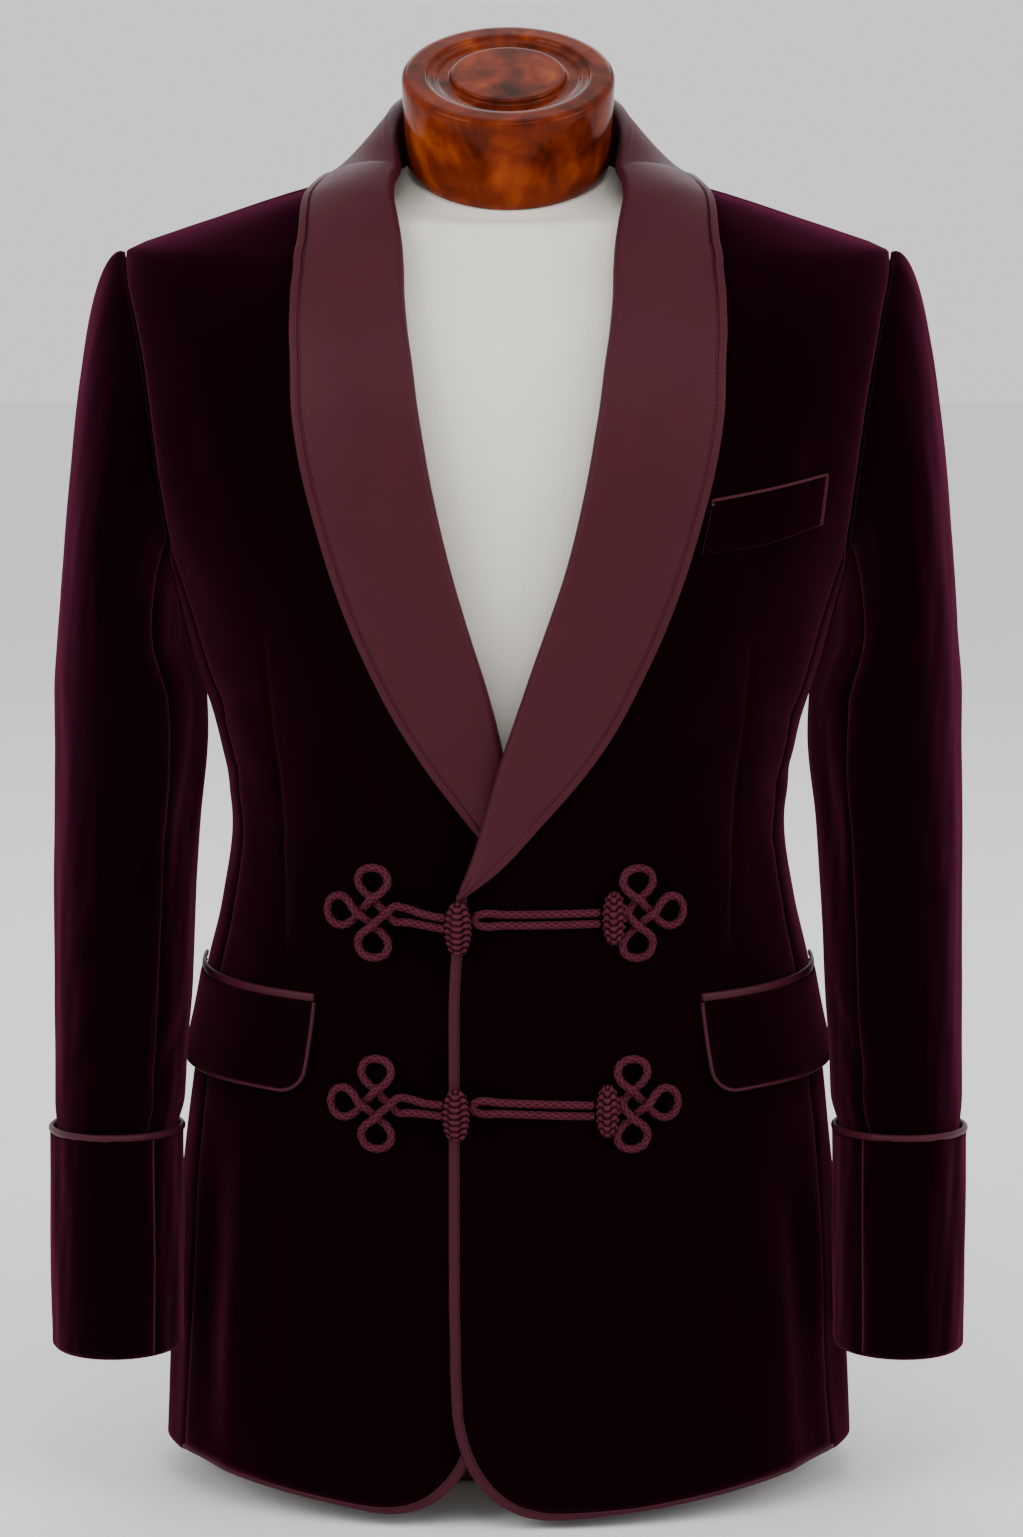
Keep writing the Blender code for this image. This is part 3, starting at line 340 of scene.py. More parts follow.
foot_bm = bmesh.new()
bmesh.ops.create_cone(foot_bm, segments=96, radius1=1, radius2=1, depth=FOOT_HEIGHT, cap_ends=True)
bmesh.ops.scale(foot_bm, vec=(*FOOT_HALF, 1), verts=foot_bm.verts)
bmesh.ops.translate(foot_bm, vec=(0, FOOT_CENTRE, FOOT_HEIGHT / 2), verts=foot_bm.verts)
foot_rims = [edge for edge in foot_bm.edges
             if abs(edge.verts[0].co.z - edge.verts[1].co.z) < 1e-6]
bmesh.ops.bevel(foot_bm, geom=foot_rims, offset=FOOT_ROUNDING, segments=4, profile=0.5,
                affect="EDGES", material=-1)
fitted(smooth_object("form_foot_turned", foot_bm), "form_foot", dark_wood())


# Neck block
# A turned cap of polished burl wood with a ring groove round a raised centre. It leans forward on
# the neck of the form.
BLOCK_LEAN = math.radians(24.6)
BLOCK_FOOT = (0.0, 0.0029, 0.7758)
BLOCK_STEPS = 128
# columns: radius, height up the axis, from the top's middle down the outside to the bottom
BLOCK_PROFILE = (
    (0.0000, 0.0577), (0.0150, 0.0577), (0.0310, 0.0577), (0.0320, 0.0577), (0.0326, 0.0575),
    (0.0330, 0.0570), (0.0332, 0.0562), (0.0334, 0.0550), (0.0339, 0.0543), (0.0348, 0.0541),
    (0.0360, 0.0541), (0.0396, 0.0541), (0.0408, 0.0542), (0.0414, 0.0546), (0.0417, 0.0551),
    (0.0422, 0.0554), (0.0430, 0.0555), (0.0454, 0.0556), (0.0462, 0.0558), (0.0466, 0.0564),
    (0.0469, 0.0571), (0.0474, 0.0575), (0.0482, 0.0576), (0.0500, 0.0576), (0.0565, 0.0576),
    (0.0580, 0.0576), (0.0592, 0.0573), (0.0602, 0.0566), (0.0608, 0.0557), (0.0611, 0.0545),
    (0.0612, 0.0530), (0.0612, 0.0510), (0.0609, 0.0420), (0.0600, 0.0250), (0.0592, 0.0060),
    (0.0586, 0.0012), (0.0575, 0.0000), (0.0560, 0.0000), (0.0000, 0.0000),
)


def burl():
    finish = Finish("burl_wood")
    place = finish.place()
    swirl = finish.noise(place, 17.0, 3.0, 1.4)
    eyes = finish.node("ShaderNodeTexVoronoi", {"feature": "SMOOTH_F1"},
                       {"Vector": place, "Scale": 62.0, "Randomness": 1.0})
    rings = finish.noise(finish.stretched(place, (40.0, 40.0, 14.0)), 1.6, 5.0, 1.6)
    figure = swirl * 0.62 + rings * 0.28 + eyes * 0.22
    stops = ((0.36, (0.020, 0.0020, 0.0004)), (0.47, (0.070, 0.0070, 0.0008)),
             (0.58, (0.130, 0.0140, 0.0012)), (0.74, (0.260, 0.0440, 0.0036)))
    tone = finish.node("ShaderNodeValToRGB", {"stops": stops}, {"Fac": figure})
    roughness = figure * 0.12 + 0.10
    return finish.set(Base_Color=tone, Roughness=roughness, Coat_Weight=0.06, Coat_Roughness=0.04,
                      Specular_IOR_Level=0.06)


block_bm = bmesh.new()
block_rim = [block_bm.verts.new((radius, 0, height)) for radius, height in BLOCK_PROFILE]
block_edges = [block_bm.edges.new(pair) for pair in zip(block_rim, block_rim[1:])]
bmesh.ops.spin(block_bm, geom=block_rim + block_edges, cent=(0, 0, 0), axis=(0, 0, 1),
               angle=2 * math.pi, steps=BLOCK_STEPS, use_merge=True)
bmesh.ops.remove_doubles(block_bm, verts=block_bm.verts, dist=1e-6)
bmesh.ops.recalc_face_normals(block_bm, faces=block_bm.faces)
for vertex in block_bm.verts:
    turned_y = vertex.co.y * math.cos(BLOCK_LEAN) - vertex.co.z * math.sin(BLOCK_LEAN)
    turned_z = vertex.co.y * math.sin(BLOCK_LEAN) + vertex.co.z * math.cos(BLOCK_LEAN)
    vertex.co = (vertex.co.x, BLOCK_FOOT[1] + turned_y, BLOCK_FOOT[2] + turned_z)
fitted(smooth_object("neck_block_turned", block_bm), "neck_block", burl())


# Fronts, side panels and backs
# Cotton velvet in dark aubergine over canvas, with a dart in each front. The pieces are sewn edge
# to edge, and each seam draws the cloth in a little. The skirt hangs in soft uneven folds.
VELVET = 0.0020
# columns: height, half width, front depth, back depth, power of the outline
BODY = (
    (0.000, 0.2050, 0.1500, 0.1450, 2.30),
    (0.055, 0.2003, 0.1480, 0.1435, 2.30),
    (0.130, 0.1965, 0.1440, 0.1400, 2.30),
    (0.180, 0.1932, 0.1415, 0.1375, 2.30),
    (0.250, 0.1855, 0.1380, 0.1340, 2.30),
    (0.300, 0.1790, 0.1340, 0.1270, 2.25),
    (0.345, 0.1690, 0.1305, 0.1180, 2.20),
    (0.392, 0.1625, 0.1290, 0.1130, 2.15),
    (0.440, 0.1693, 0.1310, 0.1155, 2.15),
    (0.490, 0.1840, 0.1360, 0.1210, 2.20),
    (0.520, 0.1915, 0.1390, 0.1250, 2.30),
    (0.560, 0.2030, 0.1400, 0.1290, 2.45),
    (0.600, 0.2130, 0.1390, 0.1320, 2.55),
    (0.640, 0.2200, 0.1340, 0.1320, 2.60),
    (0.680, 0.2235, 0.1200, 0.1240, 2.50),
    (0.705, 0.2240, 0.1050, 0.1140, 2.35),
    (0.7245, 0.2220, 0.0900, 0.1030, 2.10),
    (0.734, 0.2000, 0.0840, 0.0970, 1.95),
    (0.7426, 0.1742, 0.0790, 0.0910, 1.90),
    (0.756, 0.1335, 0.0720, 0.0830, 1.85),
    (0.766, 0.0995, 0.0680, 0.0765, 1.90),
    (0.776, 0.0755, 0.0640, 0.0700, 2.00),
    (0.790, 0.0700, 0.0630, 0.0720, 2.00),
    (0.805, 0.0672, 0.0620, 0.0740, 2.00),
    (0.825, 0.0645, 0.0620, 0.0750, 2.00),
)
# columns: degrees from the front centre, low end, high end, half width in degrees, depth
BODY_FOLDS = (
    (66.0, -0.050, 0.230, 7.0, 0.0035),
    (84.0, -0.040, 0.200, 8.0, -0.0030),
    (112.0, -0.050, 0.260, 9.0, 0.0040),
    (150.0, -0.060, 0.240, 10.0, 0.0030),
)
HEM_FRONT = 0.0105
HEM_SIDE = 0.0252
HEM_RISE_FROM = math.radians(15)
HEM_RISE_TO = math.radians(75)
CORNER_ANGLE = 0.413
CORNER_HEIGHT = 0.085
CORNER_POWER = 2.5
HEM_BLEND = 0.130
SHOULDER_TIP = 0.7245
NECK_SEAM = 0.776
ARMHOLE_MID = 0.622
ARMHOLE_HALF = SHOULDER_TIP - ARMHOLE_MID
ARMHOLE_FRONT = 0.32
ARMHOLE_BACK = 0.36
SEAM_TOP = 0.560
FRONT_SEAM_HEM = math.radians(73)
BACK_SEAM_HEM = math.radians(113)
BREAK = 0.372
LAP_DEPTH = 0.0028
LAP_DEPTH_COLLAR = 0.0103
LAP_EASE = 0.045
EDGING = 0.0070
EDGING_HEM = 0.0034
GAP = 0.0003
PROBE = 1e-4
# Distances from the axis, to turn angles into lengths along the cloth
PANEL_ARM = 0.17
SEAM_ARM = 0.18
FRONT_CREASE_ARM = 0.16
BACK_ARM = 0.15
BACK_CREASE_ARM = 0.14
BACK_MIDDLE_ARM = 0.12
# columns: height, sideways place
LEFT_EDGE = ((0.000, -0.0275), (0.300, -0.0275), (0.372, -0.0228))
RIGHT_EDGE = ((0.000, 0.0200), (0.180, 0.0185), (0.300, 0.0060), (0.372, -0.0060))
# Collar: columns roll sideways, roll height, edge sideways, edge height
LEFT_TIP = (
    (-0.0245, 0.3752, -0.0150, 0.3700),
    (-0.0199, 0.3900, -0.0036, 0.3840),
    (-0.0126, 0.4150, 0.0155, 0.4060),
    (-0.0045, 0.4440, 0.0380, 0.4312),
    (0.0048, 0.4710, 0.0560, 0.4556),
    (0.0142, 0.5000, 0.0702, 0.4816),
    (0.0238, 0.5275, 0.0827, 0.5085),
)
RIGHT_TIP = (
    (-0.0085, 0.3860, 0.0030, 0.3850),
    (-0.0060, 0.4010, 0.0135, 0.3965),
    (-0.0020, 0.4200, 0.0270, 0.4130),
    (0.0032, 0.4440, 0.0410, 0.4340),
    (0.0088, 0.4710, 0.0565, 0.4575),
    (0.0166, 0.5000, 0.0702, 0.4816),
    (0.0252, 0.5275, 0.0827, 0.5085),
)
LAPEL = (
    (0.0340, 0.5580, 0.0948, 0.5378),
    (0.0430, 0.5960, 0.1090, 0.5835),
    (0.0500, 0.6350, 0.1187, 0.6250),
    (0.0548, 0.6700, 0.1217, 0.6625),
    (0.0580, 0.7050, 0.1198, 0.7010),
    (0.0610, 0.7400, 0.1148, 0.7380),
)
# columns: roll angle in degrees, roll height, edge angle, edge height
NECK = (
    (45.5, 0.7530, 69.5, 0.7510),
    (52.6, 0.7650, 79.0, 0.7615),
    (62.5, 0.7765, 89.5, 0.7640),
    (73.0, 0.7870, 100.0, 0.7640),
    (95.0, 0.8030, 118.0, 0.7615),
    (118.0, 0.8110, 136.0, 0.7605),
    (140.0, 0.8170, 152.0, 0.7620),
    (160.0, 0.8200, 166.0, 0.7645),
    (179.75, 0.8210, 179.75, 0.7655),
)


def eased(value):
    w = np.clip(value, 0.0, 1.0)
    return w * w * (3 - 2 * w)


def unit(vectors):
    return vectors / np.linalg.norm(vectors, axis=-1, keepdims=True)


def between(a, b, w):
    return a + (b - a) * w


def fold_depth(folds, degrees, z):
    depth = 0.0
    for middle, low, high, half, most in folds:
        off = np.clip(np.abs(degrees - middle) / half, 0, 1)
        along = np.clip(2 * (z - low) / (high - low) - 1, -1, 1)
        depth = depth + most * (1 - off * off) ** 2 * (1 - along * along) ** 2
    return depth


body_at = curve_through(BODY)


def bare_body(u, z):
    u, z = np.broadcast_arrays(np.asarray(u, float), np.asarray(z, float))
    radius = egg(u, *body_at(z)) - fold_depth(BODY_FOLDS, np.abs(np.degrees(u)), z)
    return np.stack((radius * np.sin(u), -radius * np.cos(u), z), -1)


def body(u, z, lift=0.0):
    """Point of the outer cloth at angle u from the front centre toward +X, moved out by lift."""
    across = bare_body(u + PROBE, z) - bare_body(u - PROBE, z)
    up = bare_body(u, z + PROBE) - bare_body(u, z - PROBE)
    return bare_body(u, z) + np.asarray(lift)[..., None] * unit(np.cross(across, up))


def angle_at(x, z):
    half, front, _, power = body_at(z)
    inward = np.clip(1 - (np.abs(x) / half) ** power, 0, 1)
    return np.arctan2(x, front * inward ** (1 / power))


def roll_table(tip):
    rows = [(z, float(angle_at(x, z))) for x, z, _, _ in tip + LAPEL]
    return rows + [(z, math.radians(degrees)) for degrees, z, *_ in NECK[:4]]


ROLL = {LEFT: curve_through(roll_table(LEFT_TIP)), RIGHT: curve_through(roll_table(RIGHT_TIP))}
EDGE = {LEFT: curve_through(LEFT_EDGE), RIGHT: curve_through(RIGHT_EDGE)}


def front_edge(side, z):
    """Angle of a front's cloth edge at a height, inside the collar's roll above the break."""
    low = angle_at(EDGE[side](z)[0], z)
    inset = between(0.0040, 0.0055, eased((z - 0.70) / 0.05))
    high = ROLL[side](z)[0] + inset / np.linalg.norm(bare_body(0.5, z)[..., :2], axis=-1)
    return between(low, high, eased((z - BREAK) / 0.012))


def lap(x, z):
    """How far the right front lies under the left one, at x toward its own side."""
    over_edge = -bare_body(front_edge(LEFT, z), z)[..., 0] + np.where(z < BREAK, EDGING, 0.0)
    depth = between(LAP_DEPTH, LAP_DEPTH_COLLAR, eased((z - 0.31) / 0.05))
    return -depth * (1 - eased((x - over_edge - 0.001) / LAP_EASE))


def skin(side, u, z, lift=0.0):
    """Point of one half of the jacket, in that half's own space."""
    u, z = np.broadcast_arrays(np.asarray(u, float), np.asarray(z, float))
    if side == RIGHT:
        lift = lift + np.where(np.abs(u) < 1.0, lap(bare_body(u, z)[..., 0], z), 0.0)
    return body(u, z, lift)


def hem(u):
    rise = eased((np.abs(u) - HEM_RISE_FROM) / (HEM_RISE_TO - HEM_RISE_FROM))
    return between(HEM_FRONT, HEM_SIDE, rise)


def level(z, bottom):
    return np.where(z >= HEM_BLEND, z, between(bottom, HEM_BLEND, z / HEM_BLEND))


def armhole_width(rise, widest):
    """How far the armhole reaches from its middle; rise is -1 at its foot and 1 at its top."""
    inside = np.clip(1 - rise * rise, 0, 1)
    return widest * np.where(rise > 0, inside ** 0.8, inside ** 0.5)


def armhole_reach(z, widest):
    return armhole_width((z - ARMHOLE_MID) / ARMHOLE_HALF, widest)


def outer_edge(z, widest, hem_angle, direction):
    """Angle where a front (direction -1) or a back (+1) ends: at its seam, armhole or shoulder."""
    side = math.pi / 2
    top = side + direction * armhole_reach(SEAM_TOP, widest)
    low = between(hem_angle, top, np.minimum(z, SEAM_TOP) / SEAM_TOP)
    arm = side + direction * armhole_reach(z, widest)
    return np.where(z >= SHOULDER_TIP, side, np.where(z >= SEAM_TOP, arm, low))


# Creases: troughs that have a low ridge beside them
# columns: from degrees and height, to degrees and height, half width, depth
CREASES = {
    LEFT: (
        (61, 0.235, 66, 0.060, 0.0150, 0.0016), (49, 0.175, 51, 0.070, 0.0120, 0.0009),
        (77, 0.190, 74, 0.035, 0.0110, 0.0014), (98, 0.210, 101, 0.050, 0.0140, 0.0016),
        (60, 0.468, 84, 0.452, 0.0085, 0.0013), (66, 0.415, 92, 0.428, 0.0070, 0.0010),
        (44, 0.392, 78, 0.385, 0.0065, 0.0008), (94, 0.395, 122, 0.405, 0.0080, 0.0011),
        (30, 0.420, 52, 0.462, 0.0110, 0.0008), (104, 0.440, 140, 0.470, 0.0090, 0.0012),
        (128, 0.520, 150, 0.400, 0.0130, 0.0012), (146, 0.640, 160, 0.560, 0.0150, 0.0010),
        (126, 0.610, 140, 0.520, 0.0120, 0.0012), (140, 0.200, 136, 0.050, 0.0160, 0.0018),
        (164, 0.240, 168, 0.060, 0.0180, 0.0014), (56, 0.600, 50, 0.520, 0.0130, 0.0010),
        (62, 0.640, 60, 0.575, 0.0080, 0.0010), (118, 0.680, 122, 0.590, 0.0110, 0.0011),
        (150, 0.395, 178, 0.385, 0.0080, 0.0009), (20, 0.300, 40, 0.318, 0.0100, 0.0005),
    ),
    RIGHT: (
        (66, 0.225, 69, 0.050, 0.0140, 0.0020), (54, 0.200, 52, 0.085, 0.0130, 0.0010),
        (79, 0.160, 81, 0.030, 0.0100, 0.0013), (101, 0.230, 97, 0.060, 0.0150, 0.0014),
        (56, 0.478, 86, 0.462, 0.0090, 0.0015), (60, 0.430, 90, 0.420, 0.0070, 0.0011),
        (47, 0.402, 74, 0.390, 0.0065, 0.0008), (92, 0.408, 126, 0.396, 0.0080, 0.0012),
        (26, 0.410, 50, 0.450, 0.0120, 0.0008), (108, 0.455, 138, 0.480, 0.0095, 0.0011),
        (132, 0.505, 148, 0.410, 0.0130, 0.0011), (142, 0.655, 158, 0.550, 0.0160, 0.0011),
        (122, 0.600, 138, 0.530, 0.0120, 0.0011), (136, 0.215, 141, 0.040, 0.0150, 0.0016),
        (168, 0.220, 162, 0.070, 0.0180, 0.0015), (52, 0.610, 47, 0.540, 0.0140, 0.0011),
        (64, 0.650, 61, 0.590, 0.0080, 0.0010), (121, 0.690, 118, 0.600, 0.0110, 0.0010),
        (154, 0.402, 177, 0.392, 0.0080, 0.0009), (22, 0.296, 41, 0.312, 0.0100, 0.0005),
    ),
}
# columns: height, sideways place
DART = ((0.325, 0.1285), (0.372, 0.1300), (0.420, 0.1318), (0.470, 0.1372), (0.524, 0.1400))


def creased(table, degrees, z, arm):
    """How deep the creases of a table press the cloth in; arm is its distance from its own axis."""
    depth = 0.0
    for from_degrees, from_z, to_degrees, to_z, half, most in table:
        turn = math.radians(to_degrees - from_degrees) * arm
        fall = to_z - from_z
        length = turn * turn + fall * fall
        off_x = np.radians(degrees - from_degrees) * arm
        off_z = z - from_z
        along = np.clip((off_x * turn + off_z * fall) / length, 0, 1)
        far_x, far_z = off_x - along * turn, off_z - along * fall
        across = np.sqrt(far_x ** 2 + far_z ** 2) / half
        sign = np.where(off_x * fall - off_z * turn > 0, 1.0, -1.0)
        trough = np.exp(-across ** 2)
        ridge = 0.55 * np.exp(-((across * sign - 1.9) / 1.1) ** 2)
        depth = depth + most * (0.2 + 0.8 * np.sin(math.pi * along)) * (trough - ridge)
    return depth


def seam_pull(distance, z):
    """A seam draws the cloth in along a narrow line, and puckers it a little on both sides."""
    pucker = np.sin(z * 420) * np.sin(z * 173 + 1.2)
    line = -0.0007 * np.exp(-(distance / 0.0020) ** 2)
    return (line - 0.0006 * np.exp(-(distance / 0.0060) ** 2)
            - 0.00018 * pucker * np.exp(-(distance / 0.009) ** 2))


def undulation(degrees, z, most=0.0005):
    """The cloth is never quite even."""
    slow = np.sin(np.radians(degrees) * 9 + z * 21) + np.sin(np.radians(degrees) * 14 - z * 33 + 1)
    return most * 0.5 * (slow + np.sin(np.radians(degrees) * 23 + z * 57 + 2) * 0.7)


def crowded(count, crowd=0.72):
    """Shares from 0 to 1, closer together toward both ends."""
    share = np.linspace(0, 1, count)
    return share - crowd * np.sin(2 * math.pi * share) / (2 * math.pi)


def velvet(name, dark, light, glow, sheen):
    finish = Finish(name)
    place = finish.place()
    brushed = finish.noise(finish.stretched(place, (1.0, 1.0, 0.45)), 17.0, 4.0, 0.8)
    pile = finish.noise(finish.stretched(place, (1.0, 1.0, 0.35)), 1500.0, 2.0)
    tone = finish.mix(brushed * 0.75 + pile * 0.25, colour(*dark), colour(*light))
    roughness = brushed * 0.16 + 0.62
    surface = finish.bump(pile * 0.7 + brushed * 0.3, 0.00035, 0.55)
    return finish.set(Base_Color=tone, Roughness=roughness, Sheen_Weight=sheen,
                      Sheen_Roughness=0.42, Sheen_Tint=colour(*glow), Specular_IOR_Level=0.0,
                      Normal=surface)


def lining():
    finish = Finish("satin_lining")
    threads = finish.noise(finish.stretched(finish.place("UV"), (900.0, 5000.0, 1.0)), 1.0)
    tone = finish.mix(threads, colour(0.050, 0.012, 0.022), colour(0.075, 0.018, 0.032))
    return finish.set(Base_Color=tone, Roughness=threads * 0.1 + 0.4)


VELVET_CLOTH = velvet("aubergine_velvet", (0.0012, 0.0001, 0.0004), (0.0042, 0.0004, 0.0016),
                      (0.50, 0.080, 0.21), 0.31)
LINING = lining()


LABEL = {LEFT: "left", RIGHT: "right"}


def sewn(node, points, side, thickness, inside=LINING):
    """A velvet piece with its outer face through points and its wall inside."""
    made = fitted(piece(node + "_velvet", points, side), node, VELVET_CLOTH)
    made.data.materials.append(inside)
    wall = made.modifiers.new("wall", "SOLIDIFY")
    wall.thickness = thickness
    wall.offset = -1
    wall.material_offset = 1
    return made


def front_knot(side, share, z):
    """Angle and height of a front's points."""
    seam = outer_edge(z, ARMHOLE_FRONT, FRONT_SEAM_HEM, -1) - GAP / 2 / SEAM_ARM
    edge = front_edge(side, np.maximum(z, HEM_SIDE))
    u = between(edge, seam, share)
    away = 1 - np.clip((u - edge) / CORNER_ANGLE, 0, 1)
    lift = CORNER_HEIGHT * (1 - (1 - away ** CORNER_POWER) ** (1 / CORNER_POWER))
    return u, np.where(z < HEM_BLEND, level(z, hem(u) + lift), z), (seam - u) * PANEL_ARM


EDGE_EVEN = 0.02  # how far in from its edging a front stays even
DART_DEPTH = 0.0012
DART_SPREAD = 0.0007
FRONT_SHARES = np.linspace(0, 1, 142)[None, :]
FRONT_HEIGHTS = np.linspace(0, NECK_SEAM, 170)[:, None]
for side, own in LABEL.items():
    u, z, to_seam = front_knot(side, FRONT_SHARES, FRONT_HEIGHTS)
    degrees = np.degrees(u)
    lift = (seam_pull(to_seam, z) + undulation(degrees * side, z)
            - creased(CREASES[side], degrees, z, FRONT_CREASE_ARM))
    dart = eased((z - DART[0][0]) / 0.02) * eased((DART[-1][0] - z) / 0.03)
    from_dart = (u - angle_at(curve_through(DART)(z)[0], z)) * PANEL_ARM
    lift = lift - dart * (DART_DEPTH * np.exp(-(from_dart / 0.0020) ** 2)
                          + DART_SPREAD * np.exp(-(from_dart / 0.009) ** 2))
    lift = lift * eased((u - front_edge(side, z)) * PANEL_ARM / EDGE_EVEN)
    sewn(f"front_{own}", skin(side, u, z, lift), side, VELVET)

PLAIN_HEM = HEM_SIDE - EDGING_HEM - GAP
SIDE_EVEN = 0.415  # height from which the side panel's rows bend into the armhole
SIDE_SHARES = crowded(60)[None, :]
SIDE_HEIGHTS = np.linspace(0, SEAM_TOP, 130)[:, None]
for side, own in LABEL.items():
    low = outer_edge(SIDE_HEIGHTS, ARMHOLE_FRONT, FRONT_SEAM_HEM, -1)
    high = outer_edge(SIDE_HEIGHTS, ARMHOLE_BACK, BACK_SEAM_HEM, 1)
    u = between(low, high, SIDE_SHARES)
    off = (u - math.pi / 2) / np.where(u < math.pi / 2, ARMHOLE_FRONT, ARMHOLE_BACK)
    top = ARMHOLE_MID - ARMHOLE_HALF * np.sqrt(np.clip(1 - off * off, 0, 1))
    rising = top + (SIDE_HEIGHTS - SEAM_TOP) * (top - SIDE_EVEN) / (SEAM_TOP - SIDE_EVEN)
    z = level(np.where(SIDE_HEIGHTS > SIDE_EVEN, rising, SIDE_HEIGHTS), PLAIN_HEM)
    to_seam = np.minimum(u - low, high - u) * SEAM_ARM
    lift = seam_pull(to_seam, z) + undulation(np.degrees(u) * side, z)
    points = skin(side, u, z, lift - creased(CREASES[side], np.degrees(u), z, PANEL_ARM))
    sewn(f"side_panel_{own}", points, side, VELVET)

MIDDLE_EVEN = 0.03  # how far from the centre seam a back stays even
BACK_SHARES = crowded(90)[None, :]
for side, own in LABEL.items():
    low = outer_edge(FRONT_HEIGHTS, ARMHOLE_BACK, BACK_SEAM_HEM, 1)
    high = math.pi - GAP / 2 / BACK_MIDDLE_ARM
    u = between(low, high, BACK_SHARES)
    z = level(FRONT_HEIGHTS, PLAIN_HEM)
    to_seam = np.minimum(u - low, high - u) * BACK_ARM
    loose = (undulation(np.degrees(u) * side, z)
             - creased(CREASES[side], np.degrees(u), z, BACK_CREASE_ARM))
    loose = loose * eased((high - u) * BACK_MIDDLE_ARM / MIDDLE_EVEN)
    points = skin(side, u, z, seam_pull(to_seam, z) + loose)
    sewn(f"back_{own}", points, side, VELVET)


# Sleeves
# Two-piece sleeves in the same velvet, each a top sleeve and an under sleeve, set into the armhole
# with a full head. They hang a little forward and break softly at the elbow.
SLEEVE_WALL = 0.0018
UNDER_ARM_FULLNESS = 0.0036
SLEEVE_ARM = 0.055
SLEEVE_SEAM_ARM = 0.06
# columns: height, centre sideways, centre in depth, half width, half depth, slope of the level
SLEEVE = (
    (0.0960, 0.2283, -0.0790, 0.0339, 0.0540, 0.110),
    (0.150, 0.2284, -0.0745, 0.0344, 0.0545, 0.110),
    (0.216, 0.2286, -0.0650, 0.0346, 0.0555, 0.105),
    (0.236, 0.2271, -0.0570, 0.0380, 0.0585, 0.095),
    (0.262, 0.2268, -0.0460, 0.0387, 0.0610, 0.080),
    (0.294, 0.2262, -0.0340, 0.0402, 0.0650, 0.060),
    (0.340, 0.2254, -0.0220, 0.0413, 0.0695, 0.040),
    (0.390, 0.2239, -0.0120, 0.0427, 0.0740, 0.020),
    (0.440, 0.2216, -0.0050, 0.0446, 0.0790, 0.000),
    (0.468, 0.2222, -0.0030, 0.0440, 0.0832, 0.000),
    (0.500, 0.2262, 0.0000, 0.0378, 0.0880, 0.000),
)
SLEEVE_TOP = 0.500
SLEEVE_END = 0.096
SLEEVE_SEAM_SHARE = 0.9985  # of the armhole, at which the sleeve's seam lies
INSEAM = math.radians(128)
HINDARM = math.radians(246)
# columns: degrees round from the outer side by the front, low end, high end, half width, depth
SLEEVE_FOLDS = (
    (150.0, 0.340, 0.480, 22.0, 0.0035),
    (108.0, 0.200, 0.420, 12.0, 0.0025),
    (215.0, 0.300, 0.460, 20.0, 0.0030),
    (300.0, 0.260, 0.420, 16.0, 0.0025),
    (20.0, 0.220, 0.440, 14.0, 0.0015),
)
# columns: from degrees and height, to degrees and height, half width, depth
SLEEVE_CREASES = {
    LEFT: (
        (118, 0.395, 62, 0.352, 0.0090, 0.0021), (112, 0.352, 70, 0.330, 0.0070, 0.0014),
        (128, 0.450, 74, 0.425, 0.0100, 0.0016), (104, 0.300, 48, 0.268, 0.0090, 0.0014),
        (60, 0.560, 66, 0.470, 0.0120, 0.0012), (24, 0.520, 30, 0.400, 0.0150, 0.0010),
        (250, 0.400, 330, 0.372, 0.0100, 0.0016), (230, 0.350, 300, 0.322, 0.0090, 0.0014),
        (340, 0.300, 352, 0.230, 0.0110, 0.0010), (200, 0.280, 250, 0.258, 0.0090, 0.0012),
        (290, 0.560, 296, 0.450, 0.0140, 0.0013), (160, 0.300, 120, 0.250, 0.0080, 0.0011),
    ),
    RIGHT: (
        (124, 0.388, 70, 0.330, 0.0090, 0.0024), (108, 0.345, 60, 0.322, 0.0070, 0.0014),
        (130, 0.442, 80, 0.412, 0.0095, 0.0017), (98, 0.292, 52, 0.256, 0.0090, 0.0015),
        (64, 0.550, 58, 0.465, 0.0125, 0.0011), (20, 0.510, 28, 0.385, 0.0150, 0.0011),
        (252, 0.410, 326, 0.380, 0.0100, 0.0015), (226, 0.362, 304, 0.330, 0.0090, 0.0015),
        (336, 0.290, 350, 0.236, 0.0110, 0.0011), (204, 0.290, 256, 0.262, 0.0090, 0.0011),
        (286, 0.570, 300, 0.460, 0.0140, 0.0012), (164, 0.290, 124, 0.246, 0.0080, 0.0012),
    ),
}

sleeve_at = curve_through(SLEEVE)


def armhole(phi):
    """Angle and height of the sleeve's seam; phi runs from the shoulder tip round by the front."""
    rise = np.cos(phi)
    reach = armhole_width(rise, np.where(np.sin(phi) > 0, ARMHOLE_FRONT, -ARMHOLE_BACK))
    return (math.pi / 2 - SLEEVE_SEAM_SHARE * reach,
            ARMHOLE_MID + SLEEVE_SEAM_SHARE * ARMHOLE_HALF * rise)


def sleeve_level(phi, z, off=0.0):
    """Point of the sleeve or cuff at a level, moved out by off."""
    phi, z = np.broadcast_arrays(np.asarray(phi, float), np.asarray(z, float))
    x, y, half, depth, slope = sleeve_at(z)
    off = off - fold_depth(SLEEVE_FOLDS, np.degrees(phi) % 360, z)
    across = (half + off) * np.cos(phi)
    forward = (depth + off) * np.sin(phi)
    return np.stack((x + across, y - forward, z + slope * forward), -1)


